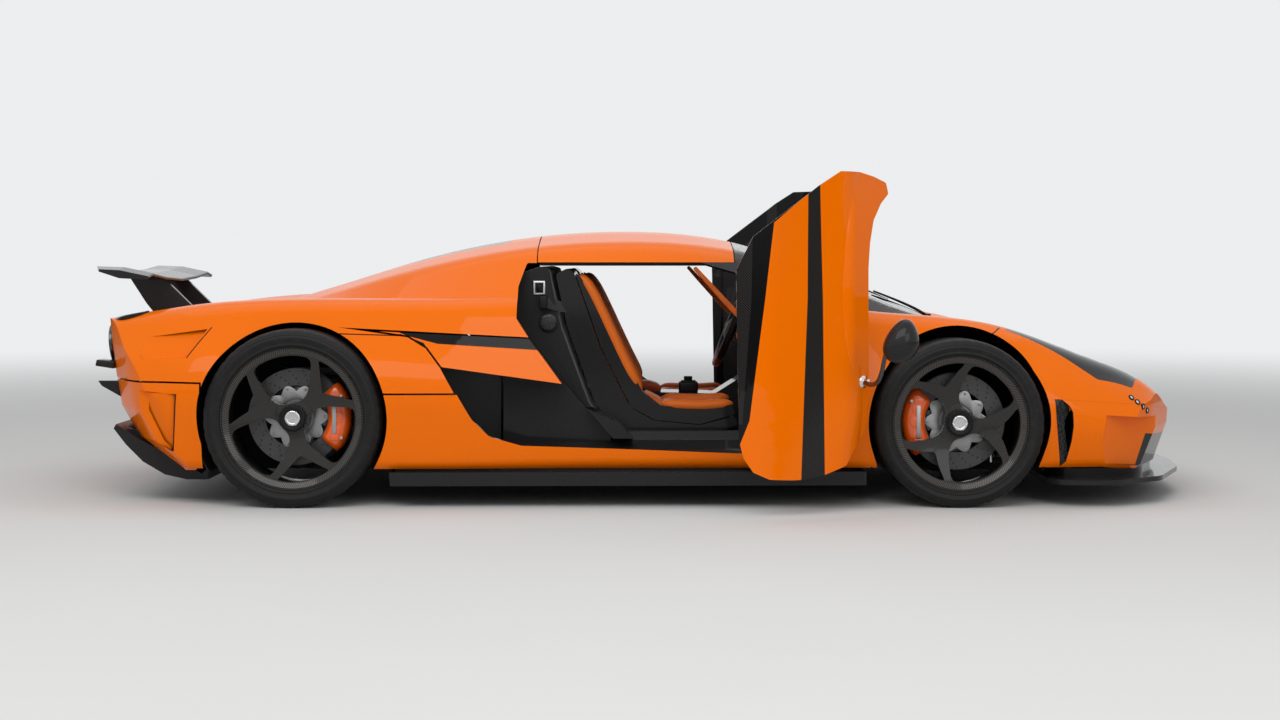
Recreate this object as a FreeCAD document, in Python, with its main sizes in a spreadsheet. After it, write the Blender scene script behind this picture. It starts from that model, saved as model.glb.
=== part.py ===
import FreeCAD, Part
import math
import os

import Sketcher
from FreeCAD import Placement, Rotation, Vector

# Two-seat mid-engined supercar, both doors swung out and turned upright.
# Millimetres, +X to the nose, +Y to the car's left, +Z up, origin on the ground below the middle.

doc = FreeCAD.newDocument("supercar")

# Driving sizes, each written once
SIZES = [
    # running gear
    ("wheelbase", 2662), ("front_axle_x", 1254.5),
    ("front_tyre_radius", 337), ("front_tyre_width", 265), ("front_track_half", 850),
    ("rear_tyre_radius", 357), ("rear_tyre_width", 335), ("rear_track_half", 825),
    ("front_rim_radius", 268), ("rear_rim_radius", 282), ("rim_wall", 9), ("tyre_shoulder", 26),
    ("face_inset", 26), ("face_dish", 34), ("face_thick", 30), ("hub_radius", 52), ("hub_length", 74),
    ("disc_radius", 196), ("disc_thick", 34), ("disc_inset", 128), ("disc_band", 72), ("disc_hat", 80),
    ("axle_radius", 33), ("bearing_play", 0.5), ("knuckle_thick", 60), ("knuckle_gap", 6),
    ("knuckle_rise", 132), ("wishbone_thick", 26), ("wishbone_inner_y", 372), ("wishbone_spread", 190),
    ("caliper_wrap", 26), ("caliper_play", 5), ("caliper_wall", 30), ("caliper_angle", 62),
    # body shell
    ("body_width", 2050), ("body_skin", 30), ("floor_top", 142), ("floor_bottom", 88), ("seam", 0.4),
    ("lid_gap", 7), ("front_arch_radius", 364), ("rear_arch_radius", 380), ("liner_wall", 6),
    ("front_liner_radius", 392), ("steer_gap", 5.5), ("rear_liner_radius", 402),
    ("glass_thick", 8), ("hollow_wall", 16),
    # doors
    ("door_skin", 18), ("door_inner_thick", 26),
    ("arm_length", 345), ("arm_root_x", 595.5), ("arm_root_y", 778), ("arm_height", 568),
    ("arm_closed_angle", -5), ("door_turn", 90), ("arm_wide", 70), ("arm_thick", 26), ("pin_radius", 12),
    ("eye_gap", 5.5), ("yoke_size", 66), ("hinge_barrel", 7), ("hinge_pin", 3), ("hinge_long", 60),
    # cabin
    ("seat_y", 374), ("seat_wide", 428), ("seat_shell", 22), ("pad_gap", 0.4),
    ("wheel_x", 395), ("wheel_z", 668), ("wheel_ring_radius", 172), ("wheel_ring_thick", 15),
    ("wheel_rake", 22), ("column_radius", 26),
    # wing and tail
    ("wing_span", 1240), ("wing_chord", 250), ("wing_thick", 34), ("wing_rear_x", -2311.5),
    ("wing_top", 962), ("pylon_y", 200), ("pylon_thick", 28),
    ("tail_pipe_radius", 85), ("tail_pipe_wall", 5), ("tail_lamp_radius", 66),
    ("gearbox_half", 150), ("engine_back", -1722.5),
]

sheet = doc.addObject("Spreadsheet::Sheet", "Sizes")
for row_number, (alias, number) in enumerate(SIZES, 1):
    sheet.set(f"A{row_number}", alias)
    sheet.set(f"B{row_number}", str(number))
    sheet.setAlias(f"B{row_number}", alias)
doc.recompute()


def size(alias):
    """Value of a driving size."""
    return float(getattr(sheet, alias))


SIDES = (("right", -1), ("left", 1))
FRONT_X = size("front_axle_x")
REAR_X = FRONT_X - size("wheelbase")

# The stations of the tables below are measured on a drawing whose axles stand here
DRAWN_FRONT = 1277.0
DRAWN_REAR = -1385.0
DRAWN_WIDTH = 2050.0


def station(x):
    """Place along the car of a station of the drawing; the wheelbase stretches what lies between."""
    if x > DRAWN_FRONT:
        return FRONT_X + x - DRAWN_FRONT
    if x < DRAWN_REAR:
        return REAR_X + x - DRAWN_REAR
    share = (x - DRAWN_REAR) / (DRAWN_FRONT - DRAWN_REAR)
    return REAR_X + share * size("wheelbase")


def across(y):
    """Place across the car of a half width of the drawing."""
    return y * size("body_width") / DRAWN_WIDTH


# Outline and solid helpers

def rounded_wire(points, radii):
    """Closed wire of lines and tangent arcs; each radius is held to what its two edges allow."""
    count = len(points)
    corners = []
    for index in range(count):
        corner = points[index]
        back = points[index - 1] - corner
        ahead = points[(index + 1) % count] - corner
        room = 0.46 * min(back.Length, ahead.Length)
        back.normalize()
        ahead.normalize()
        turn = back.getAngle(ahead)
        radius = radii[index] if isinstance(radii, (list, tuple)) else radii
        cut = radius / math.tan(turn / 2)
        if cut > room:
            cut = room
            radius = cut * math.tan(turn / 2)
        if radius < 0.5 or turn > math.radians(179.95):
            corners.append((corner, None, corner))
            continue
        middle = back + ahead
        middle.normalize()
        reach = radius / math.sin(turn / 2) - radius
        corners.append((corner + back * cut, corner + middle * reach, corner + ahead * cut))
    edges = []
    for index in range(count):
        start, middle, end = corners[index]
        if middle is not None:
            edges.append(Part.Arc(start, middle, end).toShape())
        following = corners[(index + 1) % count][0]
        if (following - end).Length > 0.01:
            edges.append(Part.LineSegment(end, following).toShape())
    return Part.Wire(edges)


def side_prism(points, y_from, y_to, radii=0):
    """Solid of an outline given as (station, height), swept across the car."""
    wire = rounded_wire([Vector(station(x), y_from, z) for x, z in points], radii)
    return Part.Face(wire).extrude(Vector(0, y_to - y_from, 0))


def plan_prism(points, z_from, z_to, radii=0):
    """Solid of an outline given as (station, half width), swept upward."""
    wire = rounded_wire([Vector(station(x), across(y), z_from) for x, y in points], radii)
    return Part.Face(wire).extrude(Vector(0, 0, z_to - z_from))


def mirrored(shape):
    """The same shape on the other side of the car."""
    return shape.mirror(Vector(0, 0, 0), Vector(0, 1, 0))


def both(shape):
    """The solids of a shape and their mirror images, as one compound."""
    return Part.makeCompound(shape.Solids + mirrored(shape).Solids)


def on_side(shape, side):
    """A shape made for the left side, put on the side asked for."""
    return shape if side > 0 else mirrored(shape)


def cylinder(radius, start, end):
    """Round bar between two points."""
    run = end - start
    return Part.makeCylinder(radius, run.Length, start, run)


def box(x_from, x_to, y_from, y_to, z_from, z_to):
    """Block between two corners."""
    return Part.makeBox(x_to - x_from, y_to - y_from, z_to - z_from, Vector(x_from, y_from, z_from))


def only_solids(shape):
    """Drop the crumbs that a cut leaves and keep the real solids."""
    kept = [solid for solid in shape.Solids if solid.Volume > 2000]
    return kept[0] if len(kept) == 1 else Part.makeCompound(kept)


def surface_point(start, end):
    """Where a straight line from outside first meets the outer form of the car."""
    line = Part.makeLine(start, end).common(OUTER)
    return min((vertex.Point for vertex in line.Vertexes), key=lambda point: (point - start).Length)


def lid_hinge(centre, leaf_shift):
    """Barrel hinge along Y: the lid's barrel with its leaf, the fixed lugs with their pin, and the room they need."""
    barrel_radius = size("hinge_barrel")
    pin_radius = size("hinge_pin")
    long = size("hinge_long")
    lug = 16
    along = Vector(0, 1, 0)
    start = centre - along * (long / 2)
    barrel = Part.makeCylinder(barrel_radius, long, start, along)
    low = Vector(min(0, leaf_shift), 0, -barrel_radius)
    leaf = Part.makeBox(abs(leaf_shift), long, barrel_radius, start + low)
    barrel = barrel.fuse(leaf).cut(Part.makeCylinder(pin_radius + 0.3, long + 2, start - along, along))
    far = centre - along * (long / 2 + 0.4 + lug)
    pin = Part.makeCylinder(pin_radius, long + 2 * (lug + 0.4), far, along)
    fixed = pin
    for place in (far, centre + along * (long / 2 + 0.4)):
        fixed = fixed.fuse(Part.makeCylinder(barrel_radius, lug, place, along))
        back = Vector(min(0, -leaf_shift), 0, -barrel_radius)
        fixed = fixed.fuse(Part.makeBox(abs(leaf_shift), lug, barrel_radius, place + back))
    fixed_room = Part.makeCylinder(barrel_radius + 4, long, start, along)
    lid_room = Part.makeCylinder(barrel_radius - 2, long + 1, start - along * 0.5, along)
    for place in (far - along * 4, centre + along * (long / 2 + 0.2)):
        lid_room = lid_room.fuse(Part.makeCylinder(barrel_radius + 5, lug + 4.2, place, along))
    return barrel, fixed, fixed_room, lid_room


NODES = []


def add_piece(name, shape):
    """A free-form sub-part: its shape is made by the functions of this file."""
    item = doc.addObject("Part::Feature", name)
    item.Label = name
    item.Shape = shape
    item.Placement = shape.Placement
    NODES.append(item)
    return item


def sketch_on(body, role, name):
    """An empty sketch on one of the body's own origin planes."""
    plane = [item for item in body.Origin.OriginFeatures if item.Role == role][0]
    sketch = body.newObject("Sketcher::SketchObject", name)
    sketch.AttachmentSupport = (plane, [""])
    sketch.MapMode = "FlatFace"
    return sketch


ALIASES = [alias for alias, number in SIZES]


def on_sheet(text):
    """An expression of bare aliases, written for use outside the sheet."""
    words = []
    for word in text.split(" "):
        sign = "-" if word.startswith("-") else ""
        bare = word.lstrip("-")
        words.append(f"{sign}Sizes.{bare}" if bare in ALIASES else word)
    return " ".join(words)


def bound_polygon(sketch, corners):
    """Closed outline whose corners are tied to cells: each is a pair of expressions."""
    guess = []
    for across_text, up_text in corners:
        pair = []
        for text in (across_text, up_text):
            pair.append(float(sheet.evalExpression(text)))
        guess.append(Vector(pair[0], pair[1], 0))
    count = len(corners)
    for index in range(count):
        sketch.addGeometry(Part.LineSegment(guess[index], guess[(index + 1) % count]), False)
    for index in range(count):
        sketch.addConstraint(Sketcher.Constraint("Coincident", index, 2, (index + 1) % count, 1))
    for index, (across_text, up_text) in enumerate(corners):
        for kind, text, value in (("DistanceX", across_text, guess[index].x),
                                  ("DistanceY", up_text, guess[index].y)):
            if text == "0":
                axis = -2 if kind == "DistanceX" else -1
                sketch.addConstraint(Sketcher.Constraint("PointOnObject", index, 1, axis))
                continue
            number = sketch.addConstraint(Sketcher.Constraint(kind, -1, 1, index, 1, value))
            sketch.setExpression(f"Constraints[{number}]", on_sheet(text))


def turned_body(name, corners):
    """Body of revolution about the Y axis: corners are (radius, place along Y) as expressions."""
    body = doc.addObject("PartDesign::Body", name)
    sketch = sketch_on(body, "XY_Plane", f"{name}_profile")
    bound_polygon(sketch, corners)
    turn = body.newObject("PartDesign::Revolution", f"{name}_turn")
    turn.Profile = sketch
    turn.ReferenceAxis = (sketch, ["V_Axis"])
    turn.Angle = 360
    sketch.Visibility = False
    body.Tip = turn
    return body


def finish_node(item, name, place=None):
    """Name an object as a sub-part of the car."""
    item.Label = name
    if place is not None:
        item.Placement = place
    NODES.append(item)
    return item


# Body surface

# x, floor half, side half, side height, crest half, crest height, centre height
BODY_SECTIONS = [
    (2340, 560, 660, 215, 520, 312, 306),
    (2150, 760, 850, 300, 650, 432, 424),
    (1930, 860, 935, 385, 745, 562, 520),
    (1700, 890, 972, 430, 790, 650, 590),
    (1277, 900, 995, 470, 800, 768, 672),
    (850, 900, 965, 450, 785, 806, 735),
    (450, 900, 935, 450, 770, 878, 790),
    (-50, 900, 935, 450, 770, 884, 800),
    (-550, 930, 985, 470, 790, 852, 790),
    (-1000, 950, 1018, 500, 805, 846, 762),
    (-1434, 950, 1025, 520, 805, 846, 748),
    (-1900, 900, 990, 520, 770, 806, 735),
    (-2290, 820, 900, 500, 700, 740, 705),
]
# x, base half, base height, rail half, rail height, roof height
CANOPY_SECTIONS = [
    (1300, 330, 640, 200, 700, 716),
    (1130, 520, 690, 330, 778, 800),
    (900, 650, 730, 430, 868, 890),
    (650, 735, 790, 500, 960, 988),
    (380, 790, 800, 545, 1024, 1070),
    (-80, 815, 800, 560, 1056, 1112),
    (-450, 800, 800, 540, 1034, 1090),
    (-800, 735, 780, 470, 978, 1030),
    (-1100, 640, 760, 370, 908, 948),
    (-1400, 520, 730, 250, 824, 856),
    (-1640, 420, 690, 170, 740, 770),
]
SIDE_RADIUS = 260
CREST_RADIUS = 150
KEEL_RADIUS = 60
VALLEY_HALF = 300
VALLEY_RADIUS = 500
BELT_RADIUS = 60
RAIL_RADIUS = 210
ROOF_RADIUS = 900
END_RADIUS = 420
CANOPY_FOOT = 420


def lower_section(row, inset):
    """Left half of the lower body at one station, set in by a wall."""
    x, floor_half, side_half, side_z, crest_half, crest_z, centre_z = row
    x = station(x)
    floor_z = size("floor_top") if inset == 0 else size("floor_bottom") - inset
    slope = 0.8 * inset
    points = [
        Vector(x, 0, floor_z),
        Vector(x, across(floor_half) - inset, floor_z),
        Vector(x, across(side_half) - inset, side_z),
        Vector(x, across(crest_half) - slope, crest_z - slope),
        Vector(x, across(VALLEY_HALF), centre_z - inset),
        Vector(x, 0, centre_z - inset),
    ]
    return rounded_wire(points, [0, KEEL_RADIUS, SIDE_RADIUS, CREST_RADIUS, VALLEY_RADIUS, 0])


def canopy_section(row, inset):
    """Left half of the cockpit canopy at one station, set in by a wall."""
    x, base_half, base_z, rail_half, rail_z, roof_z = row
    x = station(x)
    slope = 0.8 * inset
    crown = 0.42 * across(rail_half)
    points = [
        Vector(x, 0, CANOPY_FOOT),
        Vector(x, across(base_half) - inset, CANOPY_FOOT),
        Vector(x, across(base_half) - inset, base_z),
        Vector(x, across(rail_half) - slope, rail_z - slope),
        Vector(x, crown, roof_z - inset),
        Vector(x, 0, roof_z - inset),
    ]
    return rounded_wire(points, [0, 0, BELT_RADIUS, RAIL_RADIUS, ROOF_RADIUS, 0])


# height, how far the outline is drawn back
NOSE_ROWS = [(20, 95), (150, 60), (300, 6), (400, 0), (1300, 60)]
TAIL_ROWS = [(20, 330), (150, 250), (263, 120), (388, 50), (499, 30), (640, 10), (760, 0), (1300, 0)]
NOSE_OUTLINE = [(2302, -200), (2302, 60), (2255, 400), (2085, 780), (1800, 1150), (-3000, 1150), (-3000, -200)]
TAIL_OUTLINE = [(-2230, -200), (-2230, 300), (-2205, 640), (-2060, 920), (-1750, 1150), (3000, 1150), (3000, -200)]


def end_trim(rows, outline, inset, inward):
    """Solid that rounds off one end: the same plan outline, drawn back by a shift at several heights."""
    wires = []
    for z, shift in rows:
        points = [Vector(station(x) + inward * (shift + inset), across(y), z) for x, y in outline]
        wires.append(rounded_wire(points, END_RADIUS))
    return Part.makeLoft(wires, True, True)


def lower_half(inset):
    """Left half of the lower body."""
    lower = Part.makeLoft([lower_section(row, inset) for row in BODY_SECTIONS], True, False, False, 3)
    lower = lower.common(end_trim(NOSE_ROWS, NOSE_OUTLINE, inset, -1))
    return lower.common(end_trim(TAIL_ROWS, TAIL_OUTLINE, inset, 1))


def canopy_half(inset):
    """Left half of the canopy, its foot inside the lower body."""
    return Part.makeLoft([canopy_section(row, inset) for row in CANOPY_SECTIONS], True, False, False, 3)


FAR = 1300
SKIN = size("body_skin")
LOWER = lower_half(0)
CANOPY = canopy_half(0)
OUTER = LOWER.fuse(CANOPY)
INNER = lower_half(SKIN).fuse(canopy_half(SKIN))
SHELL = OUTER.cut(INNER)


def grown(points, gap):
    """The outline of a polygon with each edge moved outward by a gap, or inward where it is negative."""
    count = len(points)
    area = sum(points[i - 1][0] * points[i][1] - points[i][0] * points[i - 1][1] for i in range(count))
    outward = 1 if area > 0 else -1
    moved = []
    for index in range(count):
        ends = (points[index - 1], points[index], points[(index + 1) % count])
        normals = []
        for start, end in zip(ends, ends[1:]):
            run = math.hypot(end[0] - start[0], end[1] - start[1])
            normals.append((outward * (end[1] - start[1]) / run, -outward * (end[0] - start[0]) / run))
        (ax, ay), (bx, by) = normals
        scale = gap / (1 + ax * bx + ay * by)
        moved.append((points[index][0] + scale * (ax + bx), points[index][1] + scale * (ay + by)))
    return moved


def side_region(points, grow=0, radii=0):
    """Prism of a side-view outline through the left half, its outline let out by a gap."""
    placed = grown([(station(x), z) for x, z in points], grow)
    wire = rounded_wire([Vector(x, -20, z) for x, z in placed], radii)
    return Part.Face(wire).extrude(Vector(0, FAR, 0))


def plan_region(points, grow=0, radii=0):
    """Prism of a plan outline through the left half, its outline let out by a gap."""
    placed = grown([(station(x), across(y)) for x, y in points], grow)
    wire = rounded_wire([Vector(x, y, 0) for x, y in placed], radii)
    return Part.Face(wire).extrude(Vector(0, 0, FAR))


def whole(half):
    """Both halves of a panel that runs over the middle, as one solid."""
    return only_solids(half.fuse(mirrored(half)))


# Side-view outlines, as (station, height)
DOOR = [(-452, 955), (-474, 900), (-489, 838), (-489, 756), (-432, 668), (-396, 622), (-294, 488), (-235, 411),
        (-107, 347), (466, 357), (540, 357), (610, 374), (664, 411), (692, 474), (698, 560), (698, 612),
        (684, 692), (652, 781), (593, 815), (539, 857), (495, 870), (339, 878), (66, 873), (-115, 873), (-212, 880),
        (-300, 896), (-368, 930), (-408, 965)]
APERTURE = [(-470, 976), (-500, 880), (-500, 750), (-441, 662), (-404, 614), (-304, 482), (-250, 400),
            (-112, 336), (466, 344), (545, 344), (618, 362), (676, 402), (710, 470), (710, 614), (696, 696),
            (668, 800), (560, 884), (249, 976)]
CHANNEL = [(-792, 562), (-304, 492), (300, 420), (706, 420), (706, 214), (395, 212), (-474, 246),
           (-600, 283), (-671, 354), (-729, 455)]
BLADE = [(-1056, 702), (-300, 663), (-398, 622), (-298, 489), (-790, 561), (-852, 638), (-930, 684)]
QUARTER = [(-1100, 60), (-1100, 452), (-727, 452), (-500, 400), (712, 400), (712, 60)]
CLAM = [(-2600, 500), (-1900, 498), (-1750, 495), (-1750, 452), (-727, 452), (-790, 561),
        (-852, 638), (-930, 684), (-1056, 702), (-423, 668), (-423, 1400), (-2600, 1400)]
TAIL_SKIN = [(-2600, 500), (-1900, 498), (-1750, 495), (-1750, 110), (-1790, 118), (-1940, 205), (-2040, 255),
             (-2150, 325), (-2600, 400)]
NOSE_SKIN = [(1560, 60), (1560, 440), (2030, 405), (2190, 372), (2600, 372), (2600, 60)]
FRONT_SKIN = [(712, 60), (712, 1000), (2600, 1000), (2600, 372), (2190, 372), (2030, 405), (1560, 440), (1560, 60)]
ROOF = [(-426, 1400), (-426, 978), (392, 978), (392, 1400)]
SCREEN = [(396, 1400), (396, 1032), (560, 978), (800, 886), (1060, 786), (1292, 712), (1500, 712), (1500, 1400)]
SCREEN_FRAME = [(396, 1400), (396, 978), (252, 978), (562, 886), (672, 800), (712, 786), (1000, 690),
                (1292, 600), (1330, 600), (1330, 900), (900, 1400)]
BONNET_EDGE = 2080
HINGE_Y = 120
TAIL_HINGE_Y = 240
PIPE_Z = 330
BONNET = [(1330, -100), (1330, 420), (1460, 480), (1800, 440), (2050, 350), (2080, 200), (2080, -100)]
HEADLAMP = [(2070, 640), (2000, 800), (1850, 850), (1480, 790), (1500, 760), (1780, 700), (1950, 600)]
REAR_GLASS = [(-560, -100), (-560, 300), (-1000, 210), (-1000, -100)]


def arch(axle_x, axle_z, radius):
    """Round hole of a wheel arch through the left flank."""
    return Part.makeCylinder(radius, FAR, Vector(axle_x, 560, axle_z), Vector(0, 1, 0))


FRONT_ARCH = arch(FRONT_X, size("front_tyre_radius"), size("front_arch_radius"))
REAR_ARCH = arch(REAR_X, size("rear_tyre_radius"), size("rear_arch_radius"))


def moved(shape, place):
    """A copy of a shape carried by a placement."""
    copy = shape.copy()
    copy.Placement = place.multiply(copy.Placement)
    return copy


def steer_room():
    """Round room about the left kingpin that the front tyre's corners stay inside as it is steered."""
    half = size("front_tyre_width") / 2
    pin_in = (size("disc_inset") + size("disc_thick") + size("knuckle_gap") + size("knuckle_thick") / 2 - half)
    corner = Vector(size("front_tyre_radius") - 4, half - 12 + pin_in, 0)
    pin = Vector(FRONT_X, size("front_track_half") - pin_in, size("front_tyre_radius"))
    return Part.makeSphere(corner.Length + size("steer_gap"), pin)


# Hollows pressed into the panels: the outline seen from the side (X, Z), then three points (X, Y, Z) of the
# flat floor that it is pressed down to
TAIL_SCOOP = ([(-1764, 710), (-1835, 597), (-2015, 589), (-2060, 640), (-2010, 676)],
              [(-1764, 853, 710), (-1835, 921, 597), (-2015, 900, 600)])
TAIL_SLOT = ([(-1872, 452), (-2030, 470), (-2110, 330), (-1893, 222)],
             [(-1872, 957, 451), (-1893, 905, 224), (-2023, 929, 464)])
NOSE_VENT = ([(1632, 440), (1662, 432), (1694, 405), (1708, 380), (1711, 325), (1706, 262), (1688, 180),
              (1664, 158), (1640, 156)],
             [(1622, 952, 373), (1707, 914, 385), (1707, 896, 267)])
NOSE_SCOOP = ([(1846, 366), (2075, 350), (2500, 340), (2500, 100), (1815, 172), (1838, 300)],
              [(1850, 902, 330), (2075, 705, 330), (1850, 878, 170)])


def pressed(hollow, grow=0, sink=0):
    """Tool for a hollow: from its flat floor, sunk deeper or not, out past the panel."""
    outline, (p, q, r) = hollow
    p, q, r = Vector(*p), Vector(*q), Vector(*r)
    normal = (q - p).cross(r - p)
    points = []
    for x, z in grown(outline, grow):
        y = p.y - (normal.x * (x - p.x) + normal.z * (z - p.z)) / normal.y - sink
        points.append(Vector(x, y, z))
    return Part.Face(rounded_wire(points, 0)).extrude(Vector(0, 500, 0))


# Black lower nose, which belongs to the splitter: station, z
CHIN = [(2012, 60), (2026, 150), (2075, 277), (2176, 262), (2600, 250), (2600, 60)]


def nose_backing():
    """Walls behind the nose's deep hollow, which goes through the shell."""
    wall = size("hollow_wall")
    block = LOWER.common(pressed(NOSE_SCOOP, wall, wall)).common(side_region(NOSE_SKIN, -size("seam")))
    return block.cut(pressed(NOSE_SCOOP))


def make_panels():
    """Outer panels, each cut from the shell by its seams."""
    seam = size("seam")
    lid = size("lid_gap")
    door_hole = side_region(APERTURE, 0, 14)
    channel = side_region(CHANNEL, 0, 20)
    skin = SHELL.cut(Part.makeCompound([FRONT_ARCH, REAR_ARCH]))
    open_skin = skin.cut(door_hole).cut(channel)
    lamp_hole = plan_region(HEADLAMP, 0, 30)
    bonnet_hole = plan_region(BONNET, lid, 40)

    front = skin.common(side_region(FRONT_SKIN)).cut(CANOPY).cut(door_hole)
    front = front.cut(bonnet_hole).cut(lamp_hole)
    bonnet = SHELL.common(side_region(FRONT_SKIN)).common(plan_region(BONNET, 0, 40)).cut(CANOPY)
    edge_x = station(BONNET_EDGE) + lid / 2
    hinge_at = surface_point(Vector(edge_x, HINGE_Y, 900), Vector(edge_x, HINGE_Y, 0))
    barrel, lugs, room, lid_room = lid_hinge(hinge_at, -lid)
    tyre_room = steer_room()
    front = front.cut(room).fuse(lugs).cut(tyre_room)
    bonnet = bonnet.cut(lid_room).fuse(barrel)
    add_piece("front_fenders", whole(front))
    lamp_zone = plan_region(HEADLAMP, -seam, 30).common(box(0, 3000, 0, FAR, 420, FAR))
    lamp = LOWER.common(lamp_zone).cut(lower_half(SKIN))
    add_piece("headlamps", both(only_solids(lamp)))
    add_piece("bonnet", whole(bonnet))
    nose = skin.common(side_region(NOSE_SKIN, -seam)).cut(pressed(NOSE_VENT))
    nose = nose.cut(pressed(NOSE_SCOOP)).fuse(nose_backing()).cut(tyre_room)
    chin = nose.common(side_region(CHIN))
    add_piece("front_bumper", whole(nose.cut(side_region(CHIN, seam))))

    roof = open_skin.common(CANOPY).common(side_region(ROOF, -seam))
    add_piece("roof_panel", whole(roof))
    frame = open_skin.common(CANOPY).common(side_region(SCREEN_FRAME, -seam)).cut(side_region(SCREEN))
    add_piece("windscreen_frame", whole(frame))
    glass_layer = CANOPY.cut(canopy_half(size("glass_thick")))
    add_piece("windscreen", whole(glass_layer.common(side_region(SCREEN, -seam))))

    glass_hole = plan_region(REAR_GLASS, 0, 40)
    lamp_at = Vector(station(-2300), 560, 640)
    lamp_bar = Part.makeCylinder(size("tail_lamp_radius"), 300, lamp_at, Vector(1, 0, 0))
    lamp_seat = Part.makeCylinder(size("tail_lamp_radius") + seam, 300, lamp_at, Vector(1, 0, 0))
    tail_hinge_z = CLAM[0][1] + lid / 2
    tail_at = surface_point(Vector(-2600, TAIL_HINGE_Y, tail_hinge_z), Vector(0, TAIL_HINGE_Y, tail_hinge_z))
    clam = open_skin.common(side_region(CLAM, -lid)).cut(glass_hole).cut(lamp_seat).cut(pressed(TAIL_SCOOP))
    tail = skin.common(side_region(TAIL_SKIN, -seam)).cut(pressed(TAIL_SLOT))
    upright = Placement(tail_at, Rotation(Vector(0, 1, 0), -90))
    barrel, lugs, room, lid_room = [moved(shape, upright) for shape in lid_hinge(Vector(0, 0, 0), lid)]
    add_piece("rear_clamshell", whole(clam.cut(lid_room).fuse(barrel)))
    add_piece("tail_lamps", both(only_solids(SHELL.common(lamp_bar).common(box(-3000, -1900, 0, FAR, 500, 800)))))
    add_piece("rear_window", whole(glass_layer.common(plan_region(REAR_GLASS, -seam, 40))))
    blade = open_skin.common(side_region(BLADE, -seam))
    quarter = open_skin.common(side_region(QUARTER, -seam))
    add_piece("side_blades", both(only_solids(blade)))
    add_piece("sill_panels", both(only_solids(quarter)))
    pipe_hole = Part.makeCylinder(size("tail_pipe_radius") + seam, 900, Vector(-2700, 0, PIPE_Z), Vector(1, 0, 0))
    add_piece("rear_bumper", whole(tail.cut(room).fuse(lugs).cut(pipe_hole)))
    return chin, tyre_room


DOOR_INNER = [(-350, 835), (-392, 765), (-340, 670), (-215, 500), (-160, 440), (-70, 404), (440, 404),
              (560, 414), (620, 450), (640, 520), (640, 690), (604, 780), (560, 828), (330, 838)]
DOOR_ZONE = [(-620, 180), (-620, 1080), (820, 1080), (820, 180)]


def door_layers():
    """Skin and inner panel of the left door as they lie when it is shut."""
    zone = side_region(DOOR_ZONE)
    skin_depth = size("door_skin")
    full_depth = skin_depth + size("door_inner_thick")
    outer = OUTER.common(zone)
    under = lower_half(skin_depth).common(zone).fuse(canopy_half(skin_depth).common(zone))
    deep = lower_half(full_depth).common(zone).fuse(canopy_half(full_depth).common(zone))
    skin = outer.common(side_region(DOOR, 0, 12)).cut(under)
    inner = under.common(side_region(DOOR_INNER, 0, 40)).cut(deep)
    return only_solids(skin), only_solids(inner)


def door_place(openness):
    """Placement of the left door from 0, shut, to 1, as it stands open, with its hinge root and pin."""
    start = math.radians(size("arm_closed_angle"))
    now = start + math.radians(openness * size("door_turn"))
    reach = size("arm_length")
    root = Vector(size("arm_root_x"), size("arm_root_y"), size("arm_height"))
    shut_pin = root + Vector(-reach * math.cos(start), reach * math.sin(start), 0)
    now_pin = root + Vector(-reach * math.cos(now), reach * math.sin(now), 0)
    turn = Rotation(Vector(0, 1, 0), openness * size("door_turn"))
    place = Placement(now_pin, turn).multiply(Placement(shut_pin * -1, Rotation()))
    return place, root, now_pin


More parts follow.
